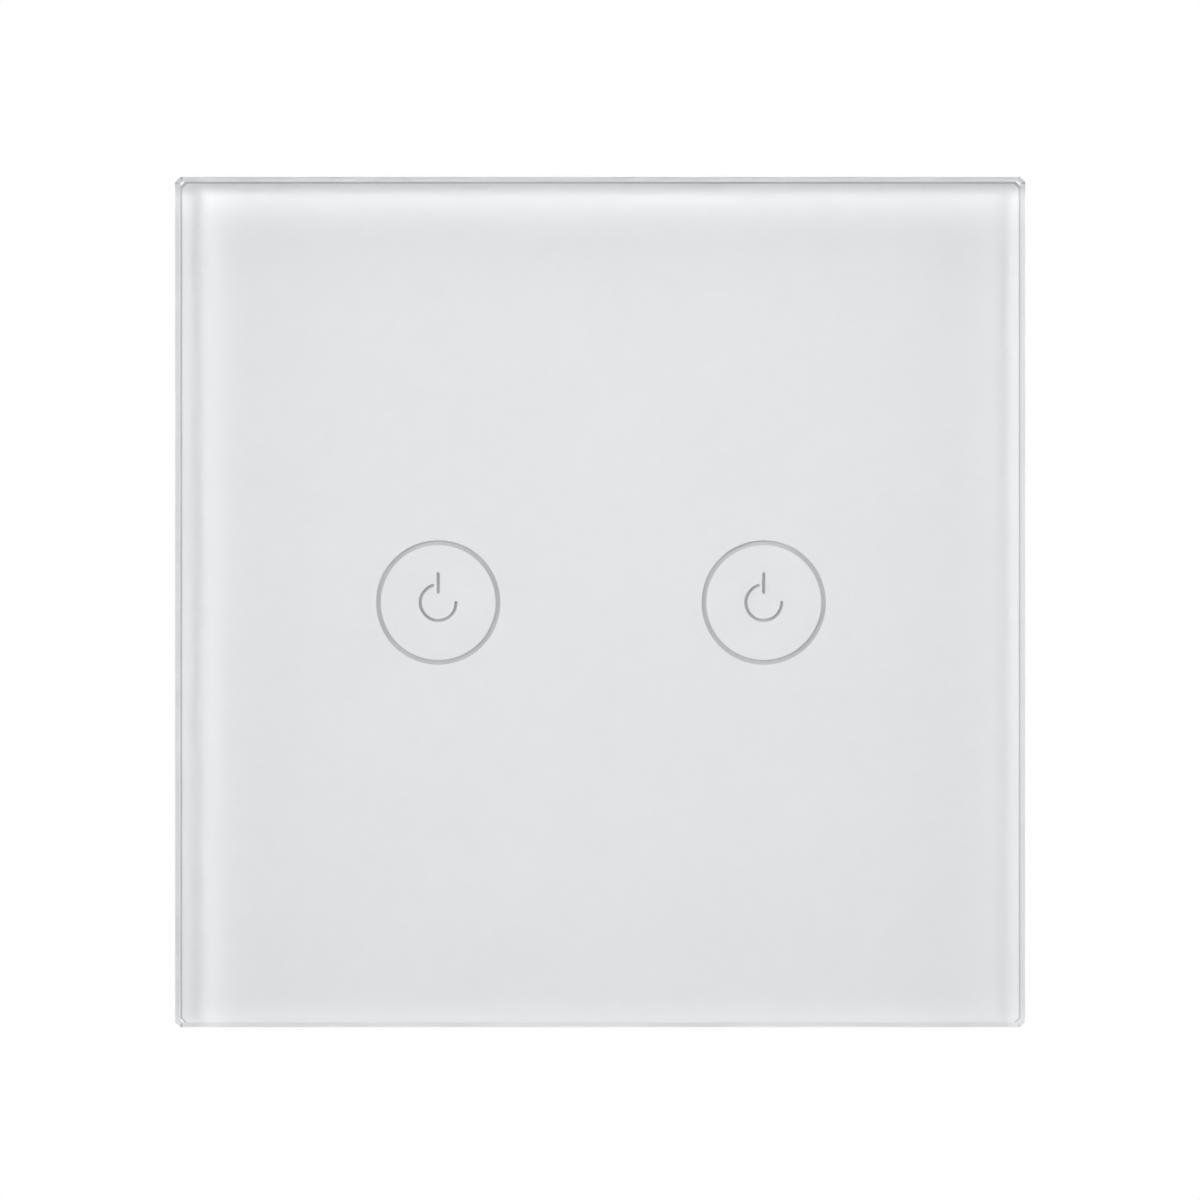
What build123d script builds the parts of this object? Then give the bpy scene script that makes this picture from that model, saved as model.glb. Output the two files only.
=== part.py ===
from build123d import *
from math import pi
import os

os.makedirs("parts", exist_ok=True)

# A touch light switch with two zones, for a square wall plate.
# X points right, Z up and Y into the wall. The wall's surface is at Y = 0, so a level
# in front of the wall is a negative Y.

# Clearances
seat_gap = 0.05  # between pieces that drop into each other
run_gap = 0.25  # between the panel and the base, all round
touch_gap = 0.15  # between a spring's tip and the light guide
cut_overrun = 1.0  # how far a cut passes the face that it opens

# Glass panel
plate_side = 86.0
glass_thickness = 4.0
front_arris = 0.5
rear_arris = 0.3
zone_spacing = 33.0

# Adhesive sheet
adhesive_thickness = 0.3
adhesive_margin = 1.5

# Panel frame
panel_reach = 6.2  # from the wall to the frame's front
glass_overhang = 0.7
frame_plate = 1.6
frame_rim_wall = 1.6
frame_corner = 1.4
wall_gap = 0.4
light_collar_wall = 1.0
light_collar_height = 2.2
frame_rib_width = 1.0
frame_rib_height = 1.5
frame_rib_offset = 12.5
frame_rib_margin = 1.6
frame_rib_across = 21.0
notch_width = 12.0
notch_height = 2.0

# Snap hooks
hook_width = 9.0
hook_spacing = 44.0
hook_thickness = 1.2
hook_length = 2.2
hook_barb = 0.6
hook_gap = 0.15
hook_tip = 0.4
hook_land = 0.5
hook_back = 0.25
window_side_gap = 0.6
window_height = 1.5

# Light guides
guide_radius = 6.6
guide_flange_width = 1.0
guide_flange_thickness = 0.8

# Mounting base
base_thickness = 2.0
base_rim_wall = 1.8
base_corner = 1.2
rim_clearance = 0.4
fixing_centres = 60.3
slot_length = 7.0
slot_width = 4.2
slot_land = 1.15  # wall between a slot and the housing
collar_wall = 1.4
collar_reach = 2.0
housing_seat = 1.0  # how deep the housing sinks into the base

# Rear housing
housing_wall = 1.6
housing_corner = 3.0
housing_chamfer = 1.0
tower_side = 7.0
tower_inset = 2.9
post_side = 5.4
post_reach = 6.0
post_floor = 0.8
keeper_rib_width = 1.2
keeper_rib_depth = 0.8
keeper_rib_offset = 3.0
shelf_rib_width = 1.4
shelf_rib_depth = 2.6
shelf_rib_offset = 12.0
vent_count = 7
vent_width = 1.4
vent_pitch = 3.6
vent_length = 7.0
vent_start = 12.5

# Housing screws
housing_screw_radius = 1.3
housing_screw_length = 13.0
housing_head_radius = 2.5
housing_head_height = 1.7
housing_head_gap = 0.25
recess_length = 2.8
recess_width = 0.7
recess_depth = 0.9

# Circuit boards
touch_board_thickness = 1.2
power_board_level = 8.0
power_board_thickness = 1.6
board_gap = 0.1
notch_gap = 0.3

# Touch springs
spring_radius = 3.4
spring_wire_radius = 0.25
spring_wire_sides = 6
spring_half_turns = 5
spring_lead = 0.5
spring_bend = 0.8
path_samples = 360  # points along a spring's path where its self gap is measured

# Indicator lamps
lamp_length = 1.6
lamp_width = 0.8
lamp_height = 0.8
lamp_ring_radius = 6.0
lamps_in_ring = 4
first_lamp_angle = 45.0

# Small parts on the touch board
chip_length = 4.9
chip_width = 3.9
chip_height = 1.5
chip_offset = 9.0
lead_pitch = 1.27
lead_width = 0.4
lead_reach = 1.0
lead_thickness = 0.2
leads_a_side = 4
chip_part_length = 1.6
chip_part_width = 0.8
chip_part_height = 0.5
chip_part_pitch = 3.2
chip_part_offset = 9.0
chip_part_columns = 5
chip_part_rows = 2

# Board connector
pin_count = 5
pin_pitch = 2.54
pin_side = 0.64
pin_gap = 0.08
pin_tail = 1.0
pin_reach = 2.4
connector_width = 2.5
connector_margin = 2.15  # from the connector to the housing's top wall
header_height = 1.3

# Terminals
pole_count = 4
pole_spacing = 7.5
cell_wall = 1.2
cell_depth = 6.8
cell_floor = 1.3
block_back_wall = 1.4
well_radius = 2.5
head_sink = 0.8
shoulder_thickness = 1.15
shank_gap = 0.2
thread_gap = 0.05
cage_gap = 0.2
cage_side_wall = 0.95
cage_nut_wall = 2.0
cage_clamp_wall = 1.0
cage_length = 5.8
cage_corner = 0.5
cage_stop_gap = 0.1
cage_rest_gap = 0.2
cage_floor_gap = 0.3
clamp_travel = 2.5
clamp_residue = 0.2
terminal_screw_radius = 1.45
terminal_head_height = 1.8
driver_slot_width = 0.8
driver_slot_depth = 0.9
bar_thickness = 1.0
bar_side_gap = 0.25
bar_lead_in = 0.6
bar_pin_width = 1.4
entry_chamfer = 0.4

# Parts behind the power board: sizes across, deep and up, and the gaps between their rows
relay_size = (10.2, 12.4, 18.0)
relay_spacing = 23.2
relay_fillet = 0.6
transformer_core = (13.0, 9.0, 6.0)
transformer_bobbin = (11.0, 11.0, 13.0)
smoothing_radius = 4.0
smoothing_height = 12.0
suppression_size = (13.0, 10.5, 6.0)
suppression_fillet = 0.5
varistor_radius = 4.5
varistor_thickness = 3.4
fuse_size = (8.4, 7.6, 4.0)
rectifier_size = (4.8, 2.4, 6.6)
headroom = 0.9  # from the tallest part to the housing's floor
relay_row_gap = 1.0
upper_row_gap = 2.9
connector_row_gap = 3.65
stack_gap = 0.8
left_column = -12.8
middle_column = -0.6
right_column = 11.6

# Levels, from the front to the back
frame_front = -panel_reach
glass_back = frame_front - adhesive_thickness
frame_plate_back = frame_front + frame_plate
guide_back = frame_plate_back + guide_flange_thickness
rim_front = frame_plate_back + rim_clearance
base_front = -base_thickness
touch_board_front = collar_reach
touch_board_back = touch_board_front + touch_board_thickness
power_board_back = power_board_level + power_board_thickness

# The housing is as deep as its tallest part or its terminals need
terminal_stack = (
    cell_floor + cage_floor_gap + cage_clamp_wall + clamp_residue + clamp_travel + bar_thickness
    + cage_rest_gap + cage_nut_wall + clamp_travel + cage_stop_gap + shoulder_thickness
    + thread_gap + terminal_head_height + head_sink
)
tallest_part = max(
    relay_size[1], transformer_bobbin[1], smoothing_height, suppression_size[1],
    2 * varistor_radius, fuse_size[1],
)
housing_depth = power_board_back + max(terminal_stack, tallest_part + headroom + housing_wall)
housing_floor = housing_depth - housing_wall

# The housing is as high as its rows of parts: terminals, relays, transformer, connector
block_height = cell_depth + block_back_wall
housing_height = (
    block_height + bar_thickness + relay_row_gap + relay_size[2] + upper_row_gap
    + transformer_bobbin[2] + connector_row_gap + connector_width + connector_margin + housing_wall
)
block_bottom = -housing_height / 2
block_top = block_bottom + block_height
relay_bottom = block_top + bar_thickness + relay_row_gap
upper_bottom = relay_bottom + relay_size[2] + upper_row_gap
connector_bottom = upper_bottom + transformer_bobbin[2] + connector_row_gap
connector_offset = connector_bottom + connector_width / 2

# Outlines
frame_side = plate_side - 2 * glass_overhang
frame_inner_side = frame_side - 2 * frame_rim_wall
base_side = frame_inner_side - 2 * run_gap
base_inner_side = base_side - 2 * base_rim_wall
housing_width = fixing_centres - slot_length - 2 * slot_land
housing_inner_width = housing_width - 2 * housing_wall
housing_inner_height = housing_height - 2 * housing_wall
housing_inner_corner = housing_corner - housing_wall
collar_width = housing_inner_width - 2 * seat_gap
collar_height = housing_inner_height - 2 * seat_gap
opening_width = collar_width - 2 * collar_wall
opening_height = collar_height - 2 * collar_wall
tower_spacing_x = housing_inner_width - 2 * tower_inset
tower_spacing_z = housing_inner_height - 2 * tower_inset
flange_radius = guide_radius + guide_flange_width
collar_inner_radius = flange_radius + seat_gap
collar_outer_radius = collar_inner_radius + light_collar_wall
seat_level = housing_screw_length + base_front + post_floor + seat_gap

# Terminal sizes that follow from the pitch and the stack
cell_width = pole_spacing - cell_wall
block_width = pole_count * pole_spacing + cell_wall
head_level = housing_depth - head_sink
seat_face = head_level - terminal_head_height - thread_gap
cell_back = seat_face - shoulder_thickness
cell_front = power_board_back + cell_floor
cage_width = cell_width - 2 * cage_gap
cage_back = cell_back - cage_stop_gap - clamp_travel
nut_face = cage_back - cage_nut_wall
bar_back = nut_face - cage_rest_gap
bar_front = bar_back - bar_thickness
clamp_face = bar_front - clamp_travel - clamp_residue
cage_front = clamp_face - cage_clamp_wall
cage_bottom = block_bottom + (cell_depth - cage_length) / 2
screw_height = cage_bottom + cage_length / 2
bar_width = cage_width - 2 * (cage_side_wall + bar_side_gap)


def level(depth):
    # The plane parallel to the wall at this depth, seen from the front.
    return Plane.XZ.offset(-depth)


def sides():
    return (-1, 1)


# Glass panel: clear plate with polished arrises and clipped corners
with BuildPart() as glass_panel:
    with BuildSketch(level(glass_back)):
        Rectangle(plate_side, plate_side)
    extrude(amount=glass_thickness)
    chamfer(glass_panel.edges().filter_by(Axis.Y), length=front_arris)
    chamfer(glass_panel.faces().sort_by(Axis.Y)[0].edges(), length=front_arris)
    chamfer(glass_panel.faces().sort_by(Axis.Y)[-1].edges(), length=rear_arris)

# Adhesive sheet: foil between the glass and its frame, open over the light guides
with BuildPart() as adhesive_sheet:
    with BuildSketch(level(frame_front)):
        Rectangle(frame_side - 2 * adhesive_margin, frame_side - 2 * adhesive_margin)
        with GridLocations(zone_spacing, zone_spacing, 2, 1):
            Circle(guide_radius + seat_gap, mode=Mode.SUBTRACT)
    extrude(amount=adhesive_thickness)

# Panel frame: tray behind the glass, with hooks, ribs, light collars and a pry notch
hook_outer = base_inner_side / 2 - hook_gap - hook_barb
hook_end = frame_plate_back + hook_length
rib_span = base_inner_side - 2 * frame_rib_margin
with BuildPart() as panel_frame:
    with BuildSketch(level(-wall_gap)):
        RectangleRounded(frame_side, frame_side, frame_corner)
    extrude(amount=panel_reach - wall_gap)
    with BuildSketch(level(-wall_gap)):
        Rectangle(frame_inner_side, frame_inner_side)
    extrude(amount=-wall_gap - frame_plate_back, mode=Mode.SUBTRACT)
    with BuildSketch(level(frame_plate_back)):
        for side in sides():
            with Locations((0, side * frame_rib_offset)):
                Rectangle(rib_span, frame_rib_width)
            for edge in sides():
                reach = rib_span / 2 - frame_rib_offset
                with Locations((side * frame_rib_across, edge * (frame_rib_offset + reach / 2))):
                    Rectangle(frame_rib_width, reach)
        Rectangle(frame_rib_width, rib_span)
    extrude(amount=-frame_rib_height)
    with BuildSketch(level(frame_plate_back)):
        with GridLocations(zone_spacing, zone_spacing, 2, 1):
            Circle(collar_outer_radius)
    extrude(amount=-light_collar_height)
    with BuildSketch(level(frame_plate_back)):
        with GridLocations(zone_spacing, zone_spacing, 2, 1):
            Circle(collar_inner_radius)
    extrude(amount=-light_collar_height, mode=Mode.SUBTRACT)
    with BuildSketch(level(frame_plate_back)):
        with GridLocations(zone_spacing, zone_spacing, 2, 1):
            Circle(guide_radius + seat_gap)
    extrude(amount=frame_plate, mode=Mode.SUBTRACT)
    for edge in sides():
        for side in sides():
            hook_plane = Plane.YZ.offset(side * hook_spacing / 2 - hook_width / 2)
            with BuildSketch(hook_plane):
                with BuildLine():
                    Polyline(
                        (frame_plate_back, edge * hook_outer),
                        (hook_end - hook_tip - hook_land - hook_back, edge * hook_outer),
                        (hook_end - hook_tip - hook_land, edge * (hook_outer + hook_barb)),
                        (hook_end - hook_tip, edge * (hook_outer + hook_barb)),
                        (hook_end, edge * hook_outer),
                        (hook_end, edge * (hook_outer - hook_thickness)),
                        (frame_plate_back, edge * (hook_outer - hook_thickness)),
                        close=True,
                    )
                make_face()
            extrude(amount=hook_width)
    with BuildSketch(level(-wall_gap)):
        with Locations((0, -frame_side / 2)):
            Rectangle(notch_width, 2 * (frame_rim_wall + cut_overrun))
    extrude(amount=notch_height, mode=Mode.SUBTRACT)


def light_guide(x):
    # A stepped disc: the boss fills the frame's window, flush with its front, and the
    # flange stops behind it.
    with BuildPart() as guide:
        with BuildSketch(level(guide_back)):
            with Locations((x, 0)):
                Circle(flange_radius)
        extrude(amount=guide_flange_thickness)
        with BuildSketch(level(frame_plate_back)):
            with Locations((x, 0)):
                Circle(guide_radius)
        extrude(amount=frame_plate)
    return guide


light_guide_left = light_guide(-zone_spacing / 2)
light_guide_right = light_guide(zone_spacing / 2)

# Mounting base: plate with a rim, two fixing slots, a collar for the housing and four posts
with BuildPart() as mounting_base:
    with BuildSketch(level(0)):
        RectangleRounded(base_side, base_side, base_corner)
    extrude(amount=base_thickness)
    with BuildSketch(level(base_front)):
        RectangleRounded(base_side, base_side, base_corner)
        Rectangle(base_inner_side, base_inner_side, mode=Mode.SUBTRACT)
    extrude(amount=base_front - rim_front)
    with BuildSketch(level(0)):
        RectangleRounded(collar_width, collar_height, housing_inner_corner - seat_gap)
    extrude(amount=-collar_reach)
    with BuildSketch(level(0)):
        seat_width = housing_width + 2 * seat_gap
        seat_height = housing_height + 2 * seat_gap
        RectangleRounded(seat_width, seat_height, housing_corner + seat_gap)
        RectangleRounded(collar_width, collar_height, housing_inner_corner - seat_gap, mode=Mode.SUBTRACT)
    extrude(amount=housing_seat, mode=Mode.SUBTRACT)
    with BuildSketch(level(collar_reach)):
        Rectangle(opening_width, opening_height)
    extrude(amount=collar_reach + base_thickness, mode=Mode.SUBTRACT)
    with BuildSketch(level(post_reach)):
        with GridLocations(tower_spacing_x, tower_spacing_z, 2, 2):
            Rectangle(post_side, post_side)
        RectangleRounded(collar_width, collar_height, housing_inner_corner - seat_gap, mode=Mode.INTERSECT)
    extrude(amount=post_reach + base_thickness)
    with BuildSketch(level(post_reach)):
        with GridLocations(tower_spacing_x, tower_spacing_z, 2, 2):
            Circle(housing_screw_radius + seat_gap)
    extrude(amount=post_reach + base_thickness - post_floor, mode=Mode.SUBTRACT)
    with BuildSketch(level(0)):
        with GridLocations(fixing_centres, fixing_centres, 2, 1):
            SlotOverall(slot_length, slot_width)
    extrude(amount=base_thickness, mode=Mode.SUBTRACT)
    with BuildSketch(level(base_front)):
        with GridLocations(hook_spacing, base_side, 2, 2):
            Rectangle(hook_width + 2 * window_side_gap, 2 * (base_rim_wall + cut_overrun))
    extrude(amount=window_height, mode=Mode.SUBTRACT)

# Rear housing: deep box with screw towers, board ribs, vents and the terminal cut-out
with BuildPart() as rear_housing:
    with BuildSketch(level(housing_depth)):
        RectangleRounded(housing_width, housing_height, housing_corner)
    extrude(amount=housing_depth + housing_seat)
    chamfer(rear_housing.faces().sort_by(Axis.Y)[-1].edges(), length=housing_chamfer)
    with BuildSketch(level(housing_floor)):
        RectangleRounded(housing_inner_width, housing_inner_height, housing_inner_corner)
    extrude(amount=housing_floor + housing_seat, mode=Mode.SUBTRACT)
    with BuildSketch(level(housing_floor)):
        with GridLocations(tower_spacing_x, tower_spacing_z, 2, 2):
            Rectangle(tower_side, tower_side)
        RectangleRounded(housing_width, housing_height, housing_corner, mode=Mode.INTERSECT)
    extrude(amount=housing_floor - post_reach)
    with BuildSketch(level(housing_depth)):
        with GridLocations(tower_spacing_x, tower_spacing_z, 2, 2):
            Circle(housing_head_radius + housing_head_gap)
    extrude(amount=housing_depth - seat_level, mode=Mode.SUBTRACT)
    with BuildSketch(level(seat_level)):
        with GridLocations(tower_spacing_x, tower_spacing_z, 2, 2):
            Circle(housing_screw_radius + seat_gap)
    extrude(amount=seat_level - post_reach, mode=Mode.SUBTRACT)
    with BuildSketch(level(housing_floor)):
        with GridLocations(housing_inner_width - keeper_rib_depth, 2 * keeper_rib_offset, 2, 2):
            Rectangle(keeper_rib_depth, keeper_rib_width)
    extrude(amount=housing_floor - touch_board_back)
    with BuildSketch(level(housing_floor)):
        with GridLocations(housing_inner_width - shelf_rib_depth, 2 * shelf_rib_offset, 2, 2):
            Rectangle(shelf_rib_depth, shelf_rib_width)
    extrude(amount=housing_floor - power_board_back)
    with BuildSketch(Plane.XY.offset(housing_height / 2 - housing_wall)):
        with Locations((0, vent_start + vent_length / 2)):
            with GridLocations(vent_pitch, vent_length, vent_count, 1):
                Rectangle(vent_width, vent_length)
    extrude(amount=housing_wall, mode=Mode.SUBTRACT)
    with BuildSketch(level(housing_depth)):
        with Locations((0, (block_bottom + block_top) / 2)):
            Rectangle(block_width + 2 * seat_gap, block_top - block_bottom + 2 * seat_gap)
    extrude(amount=housing_depth - power_board_back + seat_gap, mode=Mode.SUBTRACT)

# Housing screws: pan heads with a cross recess, deep in their towers
with BuildPart() as housing_screws:
    with BuildSketch(level(seat_level)):
        with GridLocations(tower_spacing_x, tower_spacing_z, 2, 2):
            Circle(housing_head_radius)
    extrude(amount=-housing_head_height)
    with BuildSketch(level(seat_level)):
        with GridLocations(tower_spacing_x, tower_spacing_z, 2, 2):
            Circle(housing_screw_radius)
    extrude(amount=housing_screw_length)
    with BuildSketch(level(seat_level + housing_head_height)):
        with GridLocations(tower_spacing_x, tower_spacing_z, 2, 2):
            Rectangle(recess_length, recess_width)
            Rectangle(recess_width, recess_length)
    extrude(amount=recess_depth, mode=Mode.SUBTRACT)


def board_outline(width, height, pillar_side):
    # A board's sketch, with square notches at its corners that clear the posts or towers.
    notch_x = (width - tower_spacing_x + pillar_side) / 2 + notch_gap
    notch_z = (height - tower_spacing_z + pillar_side) / 2 + notch_gap
    Rectangle(width, height)
    with GridLocations(width - notch_x, height - notch_z, 2, 2):
        Rectangle(notch_x, notch_z, mode=Mode.SUBTRACT)


# Touch board: rests on the collar's edge, and the housing's keeper ribs hold it there
touch_board_width = housing_inner_width - 2 * board_gap
touch_board_height = housing_inner_height - 2 * board_gap
with BuildPart() as touch_board:
    with BuildSketch(level(touch_board_back)):
        board_outline(touch_board_width, touch_board_height, post_side)
    extrude(amount=touch_board_thickness)


def spring_points(x):
    # Corners of the spring's path, from its foot on the board to its tip at the light guide.
    forward = Vector(0, -1, 0)
    across = Vector(1, 0, 0)
    up = Vector(0, 0, 1)
    height = touch_board_front - guide_back - touch_gap
    climb = (height - 2 * (spring_lead + spring_bend)) / spring_half_turns
    foot = Vector(x, touch_board_front, 0) + across * spring_radius - up * spring_bend
    coil_start = foot + forward * (spring_lead + spring_bend) + up * spring_bend
    halves = [coil_start]
    for half in range(1, spring_half_turns + 1):
        step = forward * (half * climb)
        offset = across * (-2 * spring_radius) if half % 2 else Vector(0, 0, 0)
        halves.append(coil_start + step + offset)
    heading = -up if spring_half_turns % 2 else up
    tip = halves[-1] + (heading + forward) * spring_bend + forward * spring_lead
    return foot, halves, tip, heading


def touch_spring(x):
    # One unbroken wire. Each half turn is a plane arc, tilted one way and then the other,
    # so that the wire climbs without a kink, and both ends bend straight to what they meet.
    forward = Vector(0, -1, 0)
    up = Vector(0, 0, 1)
    foot, halves, tip, last_heading = spring_points(x)
    with BuildPart() as spring:
        with BuildLine() as path:
            Line(foot, foot + forward * spring_lead)
            TangentArc(foot + forward * spring_lead, halves[0], tangent=forward)
            for half in range(spring_half_turns):
                heading = -up if half % 2 else up
                TangentArc(halves[half], halves[half + 1], tangent=heading)
            TangentArc(halves[-1], tip - forward * spring_lead, tangent=last_heading)
            Line(tip - forward * spring_lead, tip)
        with BuildSketch(Plane(origin=foot, x_dir=(1, 0, 0), z_dir=(0, -1, 0))):
            RegularPolygon(spring_wire_radius, spring_wire_sides)
        sweep(path=path.wires()[0])
    return spring, path.wires()[0]


def least_self_gap(wire):
    # The least clear distance between stretches of the wire that lie half a turn or more
    # apart along it.
    points = [wire @ (i / path_samples) for i in range(path_samples + 1)]
    apart = int(pi * spring_radius / wire.length * path_samples)
    gaps = [
        (points[i] - points[j]).length - 2 * spring_wire_radius
        for i in range(path_samples + 1)
        for j in range(i + apart, path_samples + 1)
    ]
    return min(gaps)


touch_spring_left, left_path = touch_spring(-zone_spacing / 2)
touch_spring_right, right_path = touch_spring(zone_spacing / 2)
for name, path in (("left", left_path), ("right", right_path)):
    print(f"touch spring {name}: wire {path.length:.2f} mm long,",
          f"least self gap {least_self_gap(path):.2f} mm")

# Indicator lamps: one behind each symbol and a ring of them behind each printed ring
with BuildPart() as status_lamps:
    with BuildSketch(level(touch_board_front)):
        with GridLocations(zone_spacing, zone_spacing, 2, 1):
            Rectangle(lamp_length, lamp_width)
            with PolarLocations(lamp_ring_radius, lamps_in_ring, start_angle=first_lamp_angle):
                Rectangle(lamp_width, lamp_length)
    extrude(amount=lamp_height)

# Touch chip: flat package with bent leads at both long sides
with BuildPart() as touch_chip:
    with BuildSketch(level(touch_board_front - lead_thickness)):
        with Locations((0, chip_offset)):
            Rectangle(chip_length, chip_width)
    extrude(amount=chip_height - lead_thickness)
    with BuildSketch(level(touch_board_front)):
        with Locations((0, chip_offset)):
            with GridLocations(lead_pitch, chip_width, leads_a_side, 2):
                Rectangle(lead_width, 2 * lead_reach)
    extrude(amount=2 * lead_thickness)

# Small parts: chip resistors and capacitors between the two zones
with BuildPart() as chip_parts:
    with BuildSketch(level(touch_board_front)):
        with Locations((0, -chip_part_offset)):
            with GridLocations(chip_part_pitch, chip_part_pitch, chip_part_columns, chip_part_rows):
                Rectangle(chip_part_width, chip_part_length)
    extrude(amount=chip_part_height)

# Board connector: socket behind the touch board, header with its pins on the power board
connector_length = pin_count * pin_pitch
header_front = power_board_level - header_height
pin_front = header_front - pin_reach
with BuildPart() as board_socket:
    with BuildSketch(level(header_front)):
        with Locations((0, connector_offset)):
            Rectangle(connector_length, connector_width)
            with GridLocations(pin_pitch, pin_pitch, pin_count, 1):
                Rectangle(pin_side + 2 * pin_gap, pin_side + 2 * pin_gap, mode=Mode.SUBTRACT)
    extrude(amount=header_front - touch_board_back)

with BuildPart() as board_header:
    with BuildSketch(level(power_board_level)):
        with Locations((0, connector_offset)):
            Rectangle(connector_length, connector_width)
    extrude(amount=header_height)
    with BuildSketch(level(power_board_back + pin_tail)):
        with Locations((0, connector_offset)):
            with GridLocations(pin_pitch, pin_pitch, pin_count, 1):
                Rectangle(pin_side, pin_side)
    extrude(amount=power_board_back + pin_tail - pin_front)

# Power board: sits on the housing's shelf ribs, with holes for the header and the terminals
power_board_width = housing_inner_width - 2 * (keeper_rib_depth + board_gap)
power_board_height = housing_inner_height - 2 * (keeper_rib_depth + board_gap)
bar_leg = block_top + bar_thickness / 2
with BuildPart() as power_board:
    with BuildSketch(level(power_board_back)):
        board_outline(power_board_width, power_board_height, tower_side)
        with Locations((0, connector_offset)):
            with GridLocations(pin_pitch, pin_pitch, pin_count, 1):
                Rectangle(pin_side + 2 * pin_gap, pin_side + 2 * pin_gap, mode=Mode.SUBTRACT)
        with Locations((0, bar_leg)):
            with GridLocations(pole_spacing, pole_spacing, pole_count, 1):
                Rectangle(bar_pin_width + 2 * pin_gap, bar_thickness + 2 * pin_gap, mode=Mode.SUBTRACT)
    extrude(amount=power_board_thickness)


def on_power_board(size, place, corner=0):
    # A box (across, deep, up) that stands on the back of the power board.
    across, deep, up = size
    with BuildPart() as part:
        with BuildSketch(level(power_board_back)):
            with Locations(place):
                Rectangle(across, up)
        extrude(amount=-deep)
        if corner:
            fillet(part.edges().filter_by(Axis.Y), radius=corner)
    return part


relay_height = relay_bottom + relay_size[2] / 2
relay_left = on_power_board(relay_size, (-relay_spacing / 2, relay_height), relay_fillet)
relay_right = on_power_board(relay_size, (relay_spacing / 2, relay_height), relay_fillet)
suppression_place = (left_column, upper_bottom + suppression_size[2] / 2)
suppression_capacitor = on_power_board(suppression_size, suppression_place, suppression_fillet)
varistor_bottom = upper_bottom + suppression_size[2] + stack_gap
fuse_bottom = varistor_bottom + varistor_thickness + stack_gap
fuse = on_power_board(fuse_size, (left_column, fuse_bottom + fuse_size[2] / 2))
rectifier = on_power_board(rectifier_size, (middle_column, upper_bottom + rectifier_size[2] / 2))

# Smoothing capacitor: an upright can
with BuildPart() as smoothing_capacitor:
    with BuildSketch(level(power_board_back)):
        with Locations((middle_column, upper_bottom + rectifier_size[2] + stack_gap + smoothing_radius)):
            Circle(smoothing_radius)
    extrude(amount=-smoothing_height)

# Transformer: a wound bobbin with its core around it
with BuildPart() as transformer:
    core_across, core_deep, core_up = transformer_core
    bobbin_across, bobbin_deep, bobbin_up = transformer_bobbin
    transformer_place = (right_column, upper_bottom + bobbin_up / 2)
    with BuildSketch(level(power_board_back)):
        with Locations(transformer_place):
            Rectangle(bobbin_across, bobbin_up)
    extrude(amount=-(bobbin_deep - core_deep) / 2)
    with BuildSketch(level(power_board_back + (bobbin_deep - core_deep) / 2)):
        with Locations(transformer_place):
            Rectangle(core_across, core_up)
            Rectangle(bobbin_across - bobbin_deep + core_deep, bobbin_up - bobbin_deep + core_deep)
    extrude(amount=-core_deep)
    with BuildSketch(level(power_board_back + (bobbin_deep + core_deep) / 2)):
        with Locations(transformer_place):
            Rectangle(bobbin_across, bobbin_up)
    extrude(amount=-(bobbin_deep - core_deep) / 2)

# Varistor: a coated disc that stands on edge
with BuildPart() as varistor:
    with BuildSketch(Plane.XY.offset(varistor_bottom)):
        with Locations((left_column, power_board_back + varistor_radius)):
            Circle(varistor_radius)
    extrude(amount=varistor_thickness)

# Terminal block: one open cell for each pole, a well for its screw and a slot for its bar
with BuildPart() as terminal_block:
    with BuildSketch(level(housing_depth)):
        with Locations((0, (block_bottom + block_top) / 2)):
            Rectangle(block_width, block_top - block_bottom)
    extrude(amount=housing_depth - power_board_back)
    with BuildSketch(level(cell_back)):
        with Locations((0, block_bottom + cell_depth / 2)):
            with GridLocations(pole_spacing, pole_spacing, pole_count, 1):
                Rectangle(cell_width, cell_depth)
    extrude(amount=cell_back - cell_front, mode=Mode.SUBTRACT)
    mouths = terminal_block.faces().sort_by(Axis.Z)[0].inner_wires()
    chamfer(mouths.edges(), length=entry_chamfer)
    with BuildSketch(level(housing_depth)):
        with Locations((0, screw_height)):
            with GridLocations(pole_spacing, pole_spacing, pole_count, 1):
                Circle(well_radius)
    extrude(amount=housing_depth - seat_face, mode=Mode.SUBTRACT)
    with BuildSketch(level(seat_face)):
        with Locations((0, screw_height)):
            with GridLocations(pole_spacing, pole_spacing, pole_count, 1):
                Circle(terminal_screw_radius + shank_gap)
    extrude(amount=shoulder_thickness, mode=Mode.SUBTRACT)
    with BuildSketch(level(bar_back)):
        with Locations((0, block_top)):
            with GridLocations(pole_spacing, pole_spacing, pole_count, 1):
                Rectangle(bar_width, 2 * block_back_wall)
    extrude(amount=bar_thickness, mode=Mode.SUBTRACT)

# Contact bars: bent strips from the cages' windows to the power board
bar_end = cage_bottom + bar_lead_in
with BuildPart() as contact_bars:
    with BuildSketch(level(bar_back)):
        with Locations((0, (bar_end + block_top + bar_thickness) / 2)):
            with GridLocations(pole_spacing, pole_spacing, pole_count, 1):
                Rectangle(bar_width, block_top + bar_thickness - bar_end)
    extrude(amount=bar_thickness)
    with BuildSketch(level(bar_front)):
        with Locations((0, bar_leg)):
            with GridLocations(pole_spacing, pole_spacing, pole_count, 1):
                Rectangle(bar_width, bar_thickness)
    extrude(amount=bar_front - power_board_back)
    with BuildSketch(level(power_board_back)):
        with Locations((0, bar_leg)):
            with GridLocations(pole_spacing, pole_spacing, pole_count, 1):
                Rectangle(bar_pin_width, bar_thickness)
    extrude(amount=power_board_thickness + pin_tail)


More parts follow.
